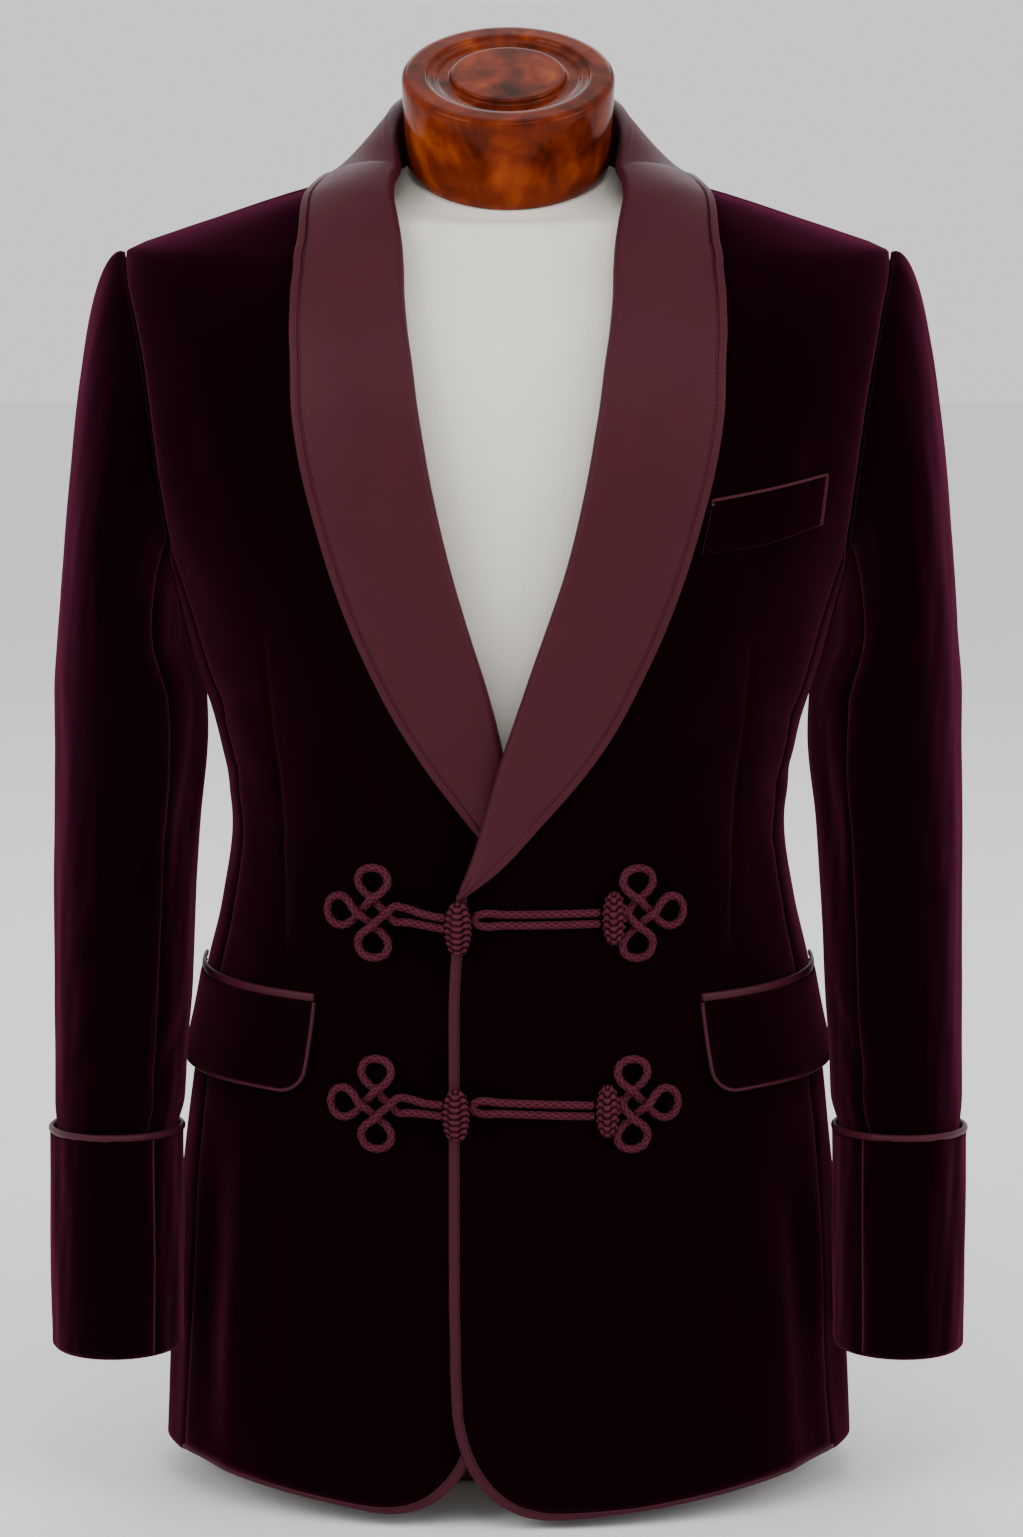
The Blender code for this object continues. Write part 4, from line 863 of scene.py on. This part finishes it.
def sleeve(phi, v):
    """Point of the sleeve's outer cloth: v from 0 at the armhole to 1 at SLEEVE_TOP, then down."""
    phi, v = np.broadcast_arrays(phi, v)
    start = bare_body(*armhole(phi))
    end = sleeve_level(phi, SLEEVE_TOP)
    span = np.linalg.norm(end - start, axis=-1, keepdims=True)
    high = np.cos(phi / 2) ** 2
    leaving = np.stack((np.ones_like(phi), -0.75 * np.sin(phi), 0.40 - 0.80 * (1 - high)), -1)
    leaving = unit(leaving) * (0.010 + 0.072 * high)[..., None]
    hanging = (sleeve_level(phi, SLEEVE_TOP - 0.01) - end) / 0.01 * span
    w = np.clip(v, 0, 1)[..., None]
    head = hermite(w, start, leaving, end, hanging)
    hung = sleeve_level(phi, SLEEVE_TOP - np.maximum(v - 1, 0))
    return np.where(v[..., None] >= 1, hung, head)


def pressed(points, depth):
    """The same surface, pressed in along its own normals."""
    across = np.gradient(points, axis=1)
    along = np.gradient(points, axis=0)
    return points - np.asarray(depth)[..., None] * unit(np.cross(across, along))


SLEEVE_ROWS = np.concatenate((np.linspace(0, 1, 70),
                              1 + np.linspace(0, SLEEVE_TOP - SLEEVE_END, 112)[1:]))
for side, own in LABEL.items():
    for label, first, last, count, cut, area in (
        ("top", HINDARM - 2 * math.pi, INSEAM, 96, (0.385, 0.650), 0.1361),
        ("under", INSEAM, HINDARM, 52, (0.163, 0.516), 0.0566),
    ):
        slack = GAP / 2 / SLEEVE_SEAM_ARM
        phi = between(first + slack, last - slack, crowded(count))[None, :]
        v = SLEEVE_ROWS[:, None]
        points = sleeve(phi, v)
        height = points[..., 2]
        to_seam = np.minimum(phi - first, last - phi) * SLEEVE_ARM
        head = 0.0004 * np.exp(-(v / 0.03) ** 2)
        under_arm = (UNDER_ARM_FULLNESS * np.clip(-np.cos(phi), 0, 1)
                     * np.sin(math.pi * np.clip(v / 1.12, 0, 1)))
        depth = (creased(SLEEVE_CREASES[side], np.degrees(phi) % 360, height, SLEEVE_ARM)
                 - seam_pull(to_seam, height) - undulation(np.degrees(phi) * side, height, 0.0004)
                 + head - under_arm)
        made = sewn(f"sleeve_{label}_{own}", pressed(points, depth), side, SLEEVE_WALL)


# Cuffs
# The cuffs are turned back over the ends of the sleeves, velvet outside and inside, with a rounded
# fold at the bottom, a seam at the front of the arm and a satin piping along the top.
CUFF_TOP = 0.218
CUFF_BOTTOM = 0.0955
CUFF_STANDOFF = 0.0032
CUFF_WALL = 0.0018
CUFF_LIP = 0.018
CUFF_PIPING = 0.0022
CUFF_PIPING_RISE = 0.0018
CUFF_ROWS = 48
CUFF_ARM = 0.05
CUFF_SEAM_ARM = 0.045
CUFF_SEAM = math.radians(131)
CUFF_CREASES = ((40, 0.205, 58, 0.120, 0.0120, 0.0007), (300, 0.200, 290, 0.110, 0.0130, 0.0008),
                (210, 0.190, 224, 0.120, 0.0120, 0.0009), (96, 0.195, 92, 0.130, 0.0110, 0.0006))


def satin(name, dark, light, roughness):
    finish = Finish(name)
    threads = finish.noise(finish.stretched(finish.place("UV"), (1600.0, 5200.0, 1.0)), 1.0, 1.0)
    cloud = finish.noise(finish.place(), 26.0, 3.0, 0.5)
    tone = finish.mix(cloud * 0.6 + threads * 0.4, colour(*dark), colour(*light))
    rough = cloud * 0.12 + threads * 0.06 + roughness
    return finish.set(Base_Color=tone, Roughness=rough, Sheen_Weight=0.05, Sheen_Roughness=0.3,
                      Sheen_Tint=colour(0.80, 0.30, 0.42), Specular_IOR_Level=0.10,
                      Normal=finish.bump(threads, 0.00012, 0.5))


SATIN_CLOTH = satin("burgundy_satin", (0.040, 0.0055, 0.0105), (0.054, 0.0085, 0.0150), 0.36)
PIPING_SATIN = satin("piping_satin", (0.034, 0.0050, 0.0100), (0.050, 0.0085, 0.0155), 0.32)
# The thread's own dark colour, made darker still as painted shade along the stitch line, since the
# stitches cast no shade
THREAD_WITH_PAINTED_SHADE = satin("thread_with_painted_shade", (0.0050, 0.0006, 0.0012), (0.0090, 0.0012, 0.0024), 0.7)


def loops(centre, outward, normal, half_width, half_height, sides=12, squareness=1.0):
    """Rings round a line: a band or a cord, narrow across its normal, ready for piece()."""
    turns = np.linspace(0, 2 * math.pi, sides + 1)[None, :, None]
    wide, high = np.cos(turns), np.sin(turns)
    wide = np.sign(wide) * np.abs(wide) ** squareness
    high = np.sign(high) * np.abs(high) ** squareness
    half_width = np.broadcast_to(half_width, len(centre))[:, None, None]
    half_height = np.broadcast_to(half_height, len(centre))[:, None, None]
    rings = (centre[:, None] + outward[:, None] * wide * half_width
             + normal[:, None] * high * half_height)
    rings[:, -1] = rings[:, 0]
    return rings


def rim_of(side, u, z, lift, turn):
    """A line on the cloth, its normals, and the way outward along the cloth; turn is its sign."""
    line = skin(side, u, z, lift)
    normal = unit(skin(side, u, z, lift + PROBE) - line)
    return line, normal, turn * unit(np.cross(np.gradient(line, axis=0), normal))


def trim(node, kind, rings, side, material, closed=False, hollow=None):
    """A solid band, piping or cord through rings, with shade painted between its strands: darker
    where points lie deeper between them.
    """
    made = piece(f"{node}_{kind}", rings, side, True, closed, hollow)
    bm = bmesh.new()
    bm.from_mesh(made.data)
    if bm.calc_volume(signed=True) < 0:
        bmesh.ops.reverse_faces(bm, faces=bm.faces)
    bm.to_mesh(made.data)
    bm.free()
    made.data.shade_smooth()
    return fitted(made, node, material)


for side, own in LABEL.items():
    outer = CUFF_STANDOFF + CUFF_WALL / 2
    inner = -SLEEVE_WALL - CUFF_WALL - 2 * GAP
    middle, radius = (outer + inner) / 2, (outer - inner) / 2
    fold = np.radians(np.linspace(0, 180, 17))
    profile_off = np.concatenate((np.full(CUFF_ROWS, outer), middle + radius * np.cos(fold[1:-1]),
                                  np.full(8, inner)))
    profile_z = np.concatenate((np.linspace(CUFF_TOP, CUFF_BOTTOM, CUFF_ROWS),
                                CUFF_BOTTOM - radius * np.sin(fold[1:-1]),
                                np.linspace(CUFF_BOTTOM, CUFF_BOTTOM + CUFF_LIP, 8)))
    phi = np.linspace(CUFF_SEAM, CUFF_SEAM + 2 * math.pi, 121)[None, :]
    z = profile_z[:, None]
    from_seam = np.minimum(phi - CUFF_SEAM, CUFF_SEAM + 2 * math.pi - phi) * CUFF_SEAM_ARM
    depth = (creased(CUFF_CREASES, np.degrees(phi) % 360, z, CUFF_ARM)
             - undulation(np.degrees(phi) * side, z) - seam_pull(from_seam, z) * 0.9)
    depth = depth * (np.arange(len(profile_z)) < CUFF_ROWS + 2)[:, None]
    points = sleeve_level(phi, z, profile_off[:, None] - depth)
    points[:, -1] = points[:, 0]
    cuff = sewn(f"cuff_{own}", points, side, CUFF_WALL, VELVET_CLOTH)
    top = CUFF_TOP + CUFF_PIPING * 0.6
    line = sleeve_level(phi[0], top, CUFF_STANDOFF)
    line[-1] = line[0]
    out = unit(sleeve_level(phi[0], top, CUFF_STANDOFF + 0.01) - line)
    up = np.broadcast_to((0.0, 0.0, 1.0), line.shape)
    rings = loops(line, out, up, CUFF_PIPING_RISE, CUFF_PIPING)
    rings[-1] = rings[0]
    piping = trim(f"cuff_piping_{own}", "satin", rings, side, PIPING_SATIN, closed=True)


# Shawl collar
# Satin, in two halves joined at the centre back. It rolls from the break of the fronts up round
# the neck, and a satin band is stitched along its outer edge.
SATIN = 0.0016
LAPEL_INNER_SHARE = 0.30
UNDER_CLOTH = 0.0013
OVER_CLOTH = 0.0017
UNDERLAP_EASE = 0.0009
ROLL_INSET = 0.0034
COLLAR_EDGING = 0.0045
COLLAR_EDGING_RISE = 0.00105
COLLAR_ROWS = 190
FALL_LIFT = 0.0034
FALL_BULGE = 0.0080
COLLAR_EASE = 9  # rows over which its lines are evened out
SHOULDER_EASE = 15
# The left half's lower end runs out to a point over the edging
POINT = ((-0.0292, 0.3665, -0.0281, 0.3655), (-0.0256, 0.3756, -0.0208, 0.3708))


def evened(line, reach):
    """A line of values, evened out over reach rows to both sides."""
    weights = np.exp(-(np.arange(-reach, reach + 1) / (reach / 2)) ** 2)
    before = 2 * line[0] - line[reach:0:-1]
    after = 2 * line[-1] - line[-2:-reach - 2:-1]
    return np.convolve(np.concatenate((before, line, after)), weights / weights.sum(), "valid")


def collar_stations(side, count):
    tip = POINT + LEFT_TIP[1:] if side == LEFT else RIGHT_TIP
    rows = [(float(angle_at(roll_x, roll_z)), roll_z, float(angle_at(edge_x, edge_z)), edge_z)
            for roll_x, roll_z, edge_x, edge_z in tip + LAPEL]
    rows += [(math.radians(roll), roll_z, math.radians(edge), edge_z)
             for roll, roll_z, edge, edge_z in NECK]
    read = curve_through([(number, *row) for number, row in enumerate(rows)])
    lines = read(np.linspace(0, len(rows) - 1, count))
    at_shoulder = eased((lines[1] - 0.66) / 0.04) * eased((0.83 - lines[1]) / 0.03)
    return [between(evened(line, COLLAR_EASE), evened(line, SHOULDER_EASE), at_shoulder)
            for line in lines]


def collar_points(side, count):
    """The collar's middle surface, and the line, outward way and normal of the band at its edge."""
    roll_u, roll_z, edge_u, edge_z = collar_stations(side, count)
    standing = eased((roll_z - 0.690) / 0.075)
    least = LAPEL_INNER_SHARE * (1 - 0.7 * standing)
    inner_share = np.maximum(least, (roll_z - NECK_SEAM - 0.0008) / (roll_z - edge_z))
    over = OVER_CLOTH + SATIN / 2 + (UNDERLAP_EASE if side == RIGHT else 0)
    folded = eased((roll_z - POINT[0][1]) / 0.012)[:, None] if side == LEFT else 1.0
    under = between(over - 0.0003, -(VELVET + UNDER_CLOTH + SATIN / 2), folded)
    roll = skin(side, roll_u, roll_z)
    width = np.linalg.norm(skin(side, edge_u, edge_z) - roll, axis=-1)
    inset_by = np.minimum(ROLL_INSET, 0.4 * width)

    def at(distance, lift):
        w = distance / width
        return skin(side, between(roll_u, edge_u, w), between(roll_z, edge_z, w), lift)

    inner_end = np.maximum(width * inner_share, np.minimum(ROLL_INSET + 0.002, 0.7 * width))
    middle, radius = (over + under) / 2, (over - under) / 2
    flat_under = under[:, 0] if side == LEFT else under
    columns = [at(between(inner_end, inset_by, w), flat_under) for w in (0, 0.25, 0.5, 0.75)]
    inset = at(inset_by, 0.0)
    normal = unit(at(inset_by, PROBE) - inset)
    back_along = unit(roll - inset)
    for turn in np.radians(np.linspace(-90, 90, 11)):
        columns.append(inset + normal * (middle + radius * math.sin(turn))
                       + back_along * radius * math.cos(turn))
    band = np.minimum(COLLAR_EDGING, 0.26 * width)
    last = width - band - GAP
    end_lift = between(over, FALL_LIFT + SATIN / 2, standing)
    start = columns[-1]
    end = at(last, end_lift)
    knee = between(start, end, 0.4) + normal * FALL_BULGE
    stand = standing[:, None]
    for w in crowded(27, 0.4)[1:]:
        laid = at(between(inset_by, last, w), over + 0.0011 * np.sin(math.pi * w) * (1 - standing))
        bent = (1 - w) ** 2 * start + 2 * w * (1 - w) * knee + w * w * end
        columns.append(between(laid, bent, stand))
    outward = unit(at(width, end_lift) - end)
    lifted = unit(at(last, end_lift + PROBE) - end)
    rim = end + outward * 0.0008 * stand
    return np.stack(columns, 1), rim, outward, lifted, band


def run_along(line):
    """How far each point lies along a line."""
    return np.concatenate(([0], np.cumsum(steps_of(line))))


STITCH_SPACING = 0.0026
STITCH_LENGTH = 0.0024
STITCH_AHEAD = 0.0004


def stitches(name, line, outward, side, half):
    """A row of small stitches along a line."""
    steps = run_along(line)

    def at(values, place):
        return np.array([np.interp(place, steps, values[:, axis]) for axis in range(3)])

    bm = bmesh.new()
    for place in np.arange(STITCH_SPACING / 2, steps[-1], STITCH_SPACING):
        spot = at(line, place)
        if place + STITCH_AHEAD < steps[-1]:
            way = unit(at(line, place + STITCH_AHEAD) - spot)
        across = unit(at(outward, place))
        up = np.cross(way, across)
        made = bmesh.ops.create_icosphere(bm, subdivisions=1, radius=1)["verts"]
        for vertex in made:
            x, y, z = vertex.co
            vertex.co = (spot + way * x * STITCH_LENGTH / 2 + across * y * half
                         + up * z * half) * (side, 1, 1)
    bmesh.ops.recalc_face_normals(bm, faces=bm.faces)
    # The stitches get thread that is darkened as painted shade of the stitch line
    return fitted(smooth_object(name, bm), None, THREAD_WITH_PAINTED_SHADE)


COLLAR_CUT = {LEFT: ((0.097, 0.654), 0.0453), RIGHT: ((0.098, 0.623), 0.0451)}
for side, own in LABEL.items():
    points, rim, outward, lifted, band = collar_points(side, COLLAR_ROWS)
    collar = fitted(piece(f"collar_{own}_satin", points, side), f"collar_{own}",
                    SATIN_CLOTH)
    wall = collar.modifiers.new("wall", "SOLIDIFY")
    wall.thickness = SATIN
    wall.offset = 0
    half_band = band[:, None] / 2
    centre = rim + outward * (GAP + half_band) + lifted * 0.0001
    rings = loops(centre, outward, lifted, band / 2 + 0.0002, COLLAR_EDGING_RISE, 14, 0.72)
    edging = trim(f"collar_edging_{own}", "satin", rings, side, SATIN_CLOTH)
    seam_line = rim - outward * 0.0013 + lifted * (SATIN / 2 + 0.00005)
    sewing = stitches(f"collar_stitches_{own}", seam_line[4:], outward[4:], side, 0.00024)
    cut, area = COLLAR_CUT[side]


# Satin edging of the fronts and the hem
# A rolled satin piping sewn to the front edge from the break down, round the corner and along the
# hem, where it is thinner, with a row of stitches on its inner edge.
EDGING_TOP = 0.3686
EDGING_RISE = 0.00135
FRONT_CUT = {LEFT: ((0.312, 0.893), 0.1655), RIGHT: ((0.264, 0.894), 0.1497)}
for side, own in LABEL.items():
    down = np.linspace(EDGING_TOP, 0.0, 150)[:-1]
    along = np.linspace(0, 1, 150)
    shares = np.concatenate((np.zeros(len(down)), along))
    heights = np.concatenate((down, np.zeros(len(along))))
    u, z, _ = front_knot(side, shares, heights)
    keep = np.concatenate(([True], steps_of(skin(side, u, z)) > 2e-4))
    line, normal, outward = rim_of(side, u[keep], z[keep], 0.0, 1)
    shares = shares[keep]
    band = np.where(shares > 0, between(EDGING, EDGING_HEM, eased(2 * shares)), EDGING)[:, None]
    centre = line + outward * (GAP + band / 2 - 0.0005) - normal * 0.0009
    rings = loops(centre, outward, normal, band[:, 0] / 2 - 0.0002, EDGING_RISE, 14, 0.8)
    edging = trim(f"front_edging_{own}", "satin", rings, side, PIPING_SATIN)
    inside = line + outward * 0.0012 + normal * 0.0003
    sewing = stitches(f"front_stitches_{own}", inside, outward, side, 0.00026)
    cut, area = FRONT_CUT[side]


# Hip pockets
# Each has a satin jet over the mouth and a velvet flap that hangs from it, with satin piping down
# its front and along the bottom. The flap lies close on the skirt and lifts toward its lower edge.
LAID_ON = 0.0012
FLAP_TOP = 0.3032
FLAP_BOTTOM = 0.2528
FLAP_FROM = math.radians(45.2)
FLAP_TO = math.radians(94)
FLAP_CORNER = math.radians(5.0)
FLAP_CORNER_HEIGHT = 0.014
FLAP_LIFT = 0.0035
FLAP_PIPING = 0.0027
PIPING_RISE = 0.0012
JET = 0.0048


def flap_knot(share, drop):
    u = between(FLAP_FROM, FLAP_TO, share)
    away = 1 - np.clip((u - FLAP_FROM) / FLAP_CORNER, 0, 1)
    lift = FLAP_CORNER_HEIGHT * (1 - np.sqrt(1 - away ** 2))
    z = between(FLAP_TOP, FLAP_BOTTOM + lift, drop)
    ripple = 0.0005 * np.sin(share * 17 + 1) * np.sin(share * 5) * drop
    return u, z, LAID_ON + FLAP_LIFT * drop ** 2 + VELVET + ripple


for side, own in LABEL.items():
    columns = crowded(90, 0.6)[None, :]
    rows = np.linspace(0, 1, 34)[:, None]
    u, z, lift = flap_knot(columns, 1 - rows)
    points = skin(side, u, z, lift - 0.0005 * np.exp(-((1 - rows) / 0.06) ** 2))
    flap = sewn(f"flap_{own}", points, side, VELVET)
    drops = np.concatenate((np.linspace(0, 1, 30)[:-1], np.ones(110)))
    shares = np.concatenate((np.zeros(29), crowded(110, 0.5)))
    line, normal, outward = rim_of(side, *flap_knot(shares, drops), 1)
    centre = line + outward * (GAP + FLAP_PIPING / 2 - 0.0004) - normal * 0.0009
    rings = loops(centre, outward, normal, FLAP_PIPING / 2 - 0.0003, PIPING_RISE, 12, 0.85)
    piping = trim(f"flap_piping_{own}", "satin", rings, side, PIPING_SATIN)
    line, normal, up = rim_of(side, np.linspace(FLAP_FROM - 0.004, FLAP_TO, 90),
                              FLAP_TOP + 0.0004 + JET / 2, LAID_ON + 0.0009, -1)
    rings = loops(line, up, normal, JET / 2, PIPING_RISE, 12, 0.8)
    jet = trim(f"jet_{own}", "satin", rings, side, PIPING_SATIN)


# Breast pocket
# A slanting velvet welt on the wearer's left chest, with a narrow satin edge along its top and
# down its outer end.
SNUG = 0.0006
# columns: share along it, sideways place, lower edge, upper edge
WELT = (
    (0.00, 0.1118, 0.5640, 0.5936),
    (0.50, 0.1440, 0.5680, 0.5985),
    (1.00, 0.1780, 0.5765, 0.6045),
)
WELT_WALL = 0.0015
WELT_EDGE = 0.0016
welt_at = curve_through(WELT)


def welt_knot(share, rise):
    x, low, high = welt_at(share)
    z = between(low, high, rise)
    x = x + 0.0060 * (rise - 0.5) * np.where(share == 0, 1.0, 0.5)
    return angle_at(x, z), z


u, z = welt_knot(np.linspace(0, 1, 50)[None, :], np.linspace(0, 1, 24)[:, None])
points = skin(LEFT, u, z, SNUG + WELT_WALL)
welt = sewn("breast_welt", points, LEFT, WELT_WALL)
u, z = welt_knot(np.concatenate((np.linspace(0, 1, 50), np.ones(20))),
                 np.concatenate((np.ones(50), np.linspace(1, 0, 21)[1:])))
line, normal, outward = rim_of(LEFT, u, z, SNUG + WELT_WALL, -1)
rings = loops(line + outward * (GAP + WELT_EDGE / 2) - normal * WELT_WALL / 2, outward, normal,
              WELT_EDGE / 2 + 0.0001, WELT_WALL / 2 + 0.0002, 10)
welt_edge = trim("breast_welt_edge", "satin", rings, LEFT, SATIN_CLOTH)


# Frogs
# Two rows of braided silk cord, sewn down on the fronts: a clover of three loops with its double
# tail on each side, and between them a knotted toggle held in a double cord that comes from a knot.
# columns: toggle, knot, right-hand frog, left-hand frog, each as sideways place and height
FROG_ROWS = (
    ((-0.0279, 0.3505), (0.0590, 0.3555), (-0.0758, 0.3575), (0.0727, 0.3575)),
    ((-0.0293, 0.2435), (0.0560, 0.2455), (-0.0744, 0.2485), (0.0701, 0.2485)),
)
CORD = 0.0023
CROSSING = 0.0050
PAIR_RISE = 0.0048
TOGGLE_HALF = (0.0080, 0.0052, 0.0155)
KNOT_HALF = (0.0070, 0.0050, 0.0155)
TOGGLE_LIFT = 0.0009
PAIR = 0.0031
CORD_STEP = 0.00055
BRAID = 0.0050
BRAID_DEPTH = 0.00040
# The eye is a small dent whose darkness is painted shade
EYE_RISE = 2.66  # of the dark eye near a toggle's top, in radians from its foot
# columns: along the axis, across it, share of the crossing's rise
LOOP = (
    (0.0036, -0.0036, 0.45), (0.0078, 0.0000, 0.00), (0.0122, 0.0056, 0.00),
    (0.0175, 0.0084, 0.00), (0.0230, 0.0068, 0.00), (0.0258, 0.0000, 0.00),
    (0.0230, -0.0068, 0.00), (0.0175, -0.0084, 0.15), (0.0122, -0.0056, 0.70),
    (0.0078, 0.0000, 1.00),
)


def silk_cord():
    finish = Finish("silk_cord")
    place = finish.place("UV")
    fibres = finish.noise(finish.stretched(place, (2600.0, 900.0, 1.0)), 1.0, 2.0)
    cloud = finish.noise(finish.place(), 140.0, 2.0)
    tone = finish.mix(cloud * 0.5 + fibres * 0.5, colour(0.045, 0.0065, 0.0130),
                      colour(0.095, 0.0180, 0.0300))
    # Painted shade: points deep between strands and wraps are mixed toward near black, standing in
    # for the shade in those hollows
    hollow = finish.node("ShaderNodeAttribute", {"attribute_name": "hollow"}, {}, "Fac")
    tone = finish.mix(hollow, tone, colour(0.0095, 0.0008, 0.0020))
    return finish.set(Base_Color=tone, Roughness=fibres * 0.2 + 0.38, Sheen_Weight=0.08,
                      Sheen_Roughness=0.3, Sheen_Tint=colour(0.80, 0.38, 0.52),
                      Specular_IOR_Level=0.03, Normal=finish.bump(fibres, 0.00015, 0.6))


SILK_CORD = silk_cord()


def on_front(x, z, lift):
    """Point off the fronts at a sideways place, over the body's own surface."""
    return body(angle_at(x, z), z, lift)


def smoothed(route, step):
    """A smooth line through the points of a route, in even steps."""
    route = np.array(route)
    steps = run_along(route)
    slopes = np.gradient(route, steps, axis=0)
    places = np.linspace(0, steps[-1], int(steps[-1] / step))
    i = np.clip(np.searchsorted(steps, places) - 1, 0, len(steps) - 2)
    span = (steps[i + 1] - steps[i])[:, None]
    w = (places - steps[i])[:, None] / span
    return hermite(w, route[i], slopes[i], route[i + 1], slopes[i + 1], span)


def braided(node, kind, route):
    """A round braided cord along a route."""
    line = smoothed(route, CORD_STEP)
    along = unit(np.gradient(line, axis=0))
    up = unit(line * (1, 1, 0))
    across = unit(np.cross(up, along))
    up = np.cross(along, across)
    turns = np.linspace(0, 2 * math.pi, 17)[None, :]
    twist = 2 * math.pi * (np.arange(len(line))[:, None] * CORD_STEP) / BRAID
    strands = np.maximum(np.cos(4 * turns + twist), np.cos(4 * turns - twist))
    radius = (CORD - BRAID_DEPTH + BRAID_DEPTH * (0.3 + 0.9 * strands))[..., None]
    rings = line[:, None] + radius * (across[:, None] * np.cos(turns)[..., None]
                                      + up[:, None] * np.sin(turns)[..., None])
    rings[:, -1] = rings[:, 0]
    # The hollows between the braid's strands get painted shade
    trim(node, kind, rings, LEFT, SILK_CORD,
         hollow=0.85 * eased((0.30 - strands) / 0.7))


def knotted(node, place, half, lift, wraps, plaits, has_eye=False):
    """An oval knot of the same cord: wraps one above the other, plaited in upright columns."""
    middle = on_front(place[0], place[1], half[1] + lift)
    facing = float(angle_at(*place))
    turns = np.linspace(0, 2 * math.pi, 81)[None, :]
    rise = np.linspace(0, math.pi, 85)[:, None]
    zigzag = np.abs((turns * plaits / math.pi + 0.5) % 2 - 1)
    offset = 0.42 * eased(2.6 * (zigzag - 0.5) + 0.5) + 0.16 * zigzag
    rows = np.cos(2 * math.pi * (wraps * (1 - np.cos(rise)) / 2 + offset))
    rows = rows - 1.15 * np.exp(-((zigzag - 0.5) / 0.17) ** 2)
    # The eye: a small dent near the toggle's top, which the painted shade darkens to near black
    if has_eye:
        rows = rows - 3 * np.exp(-((turns - 1.5 * math.pi) / 0.34) ** 2
                                 - ((rise - EYE_RISE) / 0.13) ** 2)
    swell = 1 + 0.10 * (np.maximum(rows, -2) - 0.6) * np.sin(rise) ** 0.6
    x = -np.cos(turns) * np.sin(rise) ** 0.8 * half[0] * swell
    y = -np.sin(turns) * np.sin(rise) ** 0.8 * half[1] * swell
    z = -np.cos(rise) * half[2] * np.ones_like(turns)
    points = np.stack((middle[0] + x * math.cos(facing) - y * math.sin(facing),
                       middle[1] + x * math.sin(facing) + y * math.cos(facing), middle[2] + z), -1)
    points[:, -1] = points[:, 0]
    # The hollows between the wraps and plaits, and the eye, get painted shade
    trim(node, "knotted", points, LEFT, SILK_CORD, hollow=eased(0.05 - rows))


def frog_loops(node, middle, tail_end, direction):
    """Three loops of one cord round a middle, with its double tail laid out to tail_end."""
    reach = abs(tail_end[0] - middle[0])
    drop = tail_end[1] - middle[1]
    tails = [(0.0078, 0.0, 0.0042, 0.1)]
    if reach > 0.02:
        tails = [(0.0080, 0.0, 0.0, 1.0), (0.0125, 0.0, 0.0044, 0.6),
                 (0.0180, 0.1 * drop, 0.0040, 0.0), (0.72 * reach, 0.6 * drop, PAIR, 0.0),
                 (reach, drop, PAIR, 0.0)]
    route = [(along, line - spread, 0.0) for along, line, spread, _ in reversed(tails)]
    route.append((0.0036, 0.0036, 0.0))
    for quarter in (1, 2, 3):
        turn = math.radians(90 * quarter)
        for along, across, rise in LOOP[1 if quarter == 1 else 0:]:
            route.append((along * math.cos(turn) - across * math.sin(turn),
                          along * math.sin(turn) + across * math.cos(turn), rise))
    route.append((0.0036, -0.0036, 0.6))
    route += [(along, line + spread, rise) for along, line, spread, rise in tails]
    points = [on_front(middle[0] + direction * x, middle[1] + z, CORD + LAID_ON + CROSSING * rise)
              for x, z, rise in route]
    braided(node, "cord", points)


def double_cord(node, toggle, knot_place):
    """A cord folded in two: out from the knot to the toggle's neck and back."""
    start = knot_place[0] - KNOT_HALF[0] - 0.0004
    turn = toggle[0] + TOGGLE_HALF[0] - 0.0012 + CORD
    upper = [(between(start, turn + PAIR, i / 5), PAIR) for i in range(6)]
    bend = [(turn + PAIR * (1 - math.sin(math.radians(a))), PAIR * math.cos(math.radians(a)))
            for a in (45, 90, 135)]
    lower = [(x, -z) for x, z in reversed(upper)]
    points = []
    for x, z in upper + bend + lower:
        height = between(toggle[1] + PAIR_RISE, knot_place[1], (x - turn) / (start - turn))
        points.append(on_front(x, height + z, CORD + SNUG))
    braided(node, "braided", points)


for number, (toggle, knot_place, right_frog, left_frog) in enumerate(FROG_ROWS, 1):
    toggle_flank = (toggle[0] - TOGGLE_HALF[0] + 0.0004, toggle[1] + 0.0024)
    knot_flank = (knot_place[0] + KNOT_HALF[0] + 0.0006, knot_place[1])
    frog_loops(f"frog_right_{number}", right_frog, toggle_flank, 1)
    knotted(f"toggle_{number}", toggle, TOGGLE_HALF, TOGGLE_LIFT, 8.5, 3, has_eye=True)
    double_cord(f"frog_cord_{number}", toggle, knot_place)
    knotted(f"knot_{number}", knot_place, KNOT_HALF, GAP + 0.0002, 7.5, 4)
    frog_loops(f"frog_left_{number}", left_frog, knot_flank, -1)
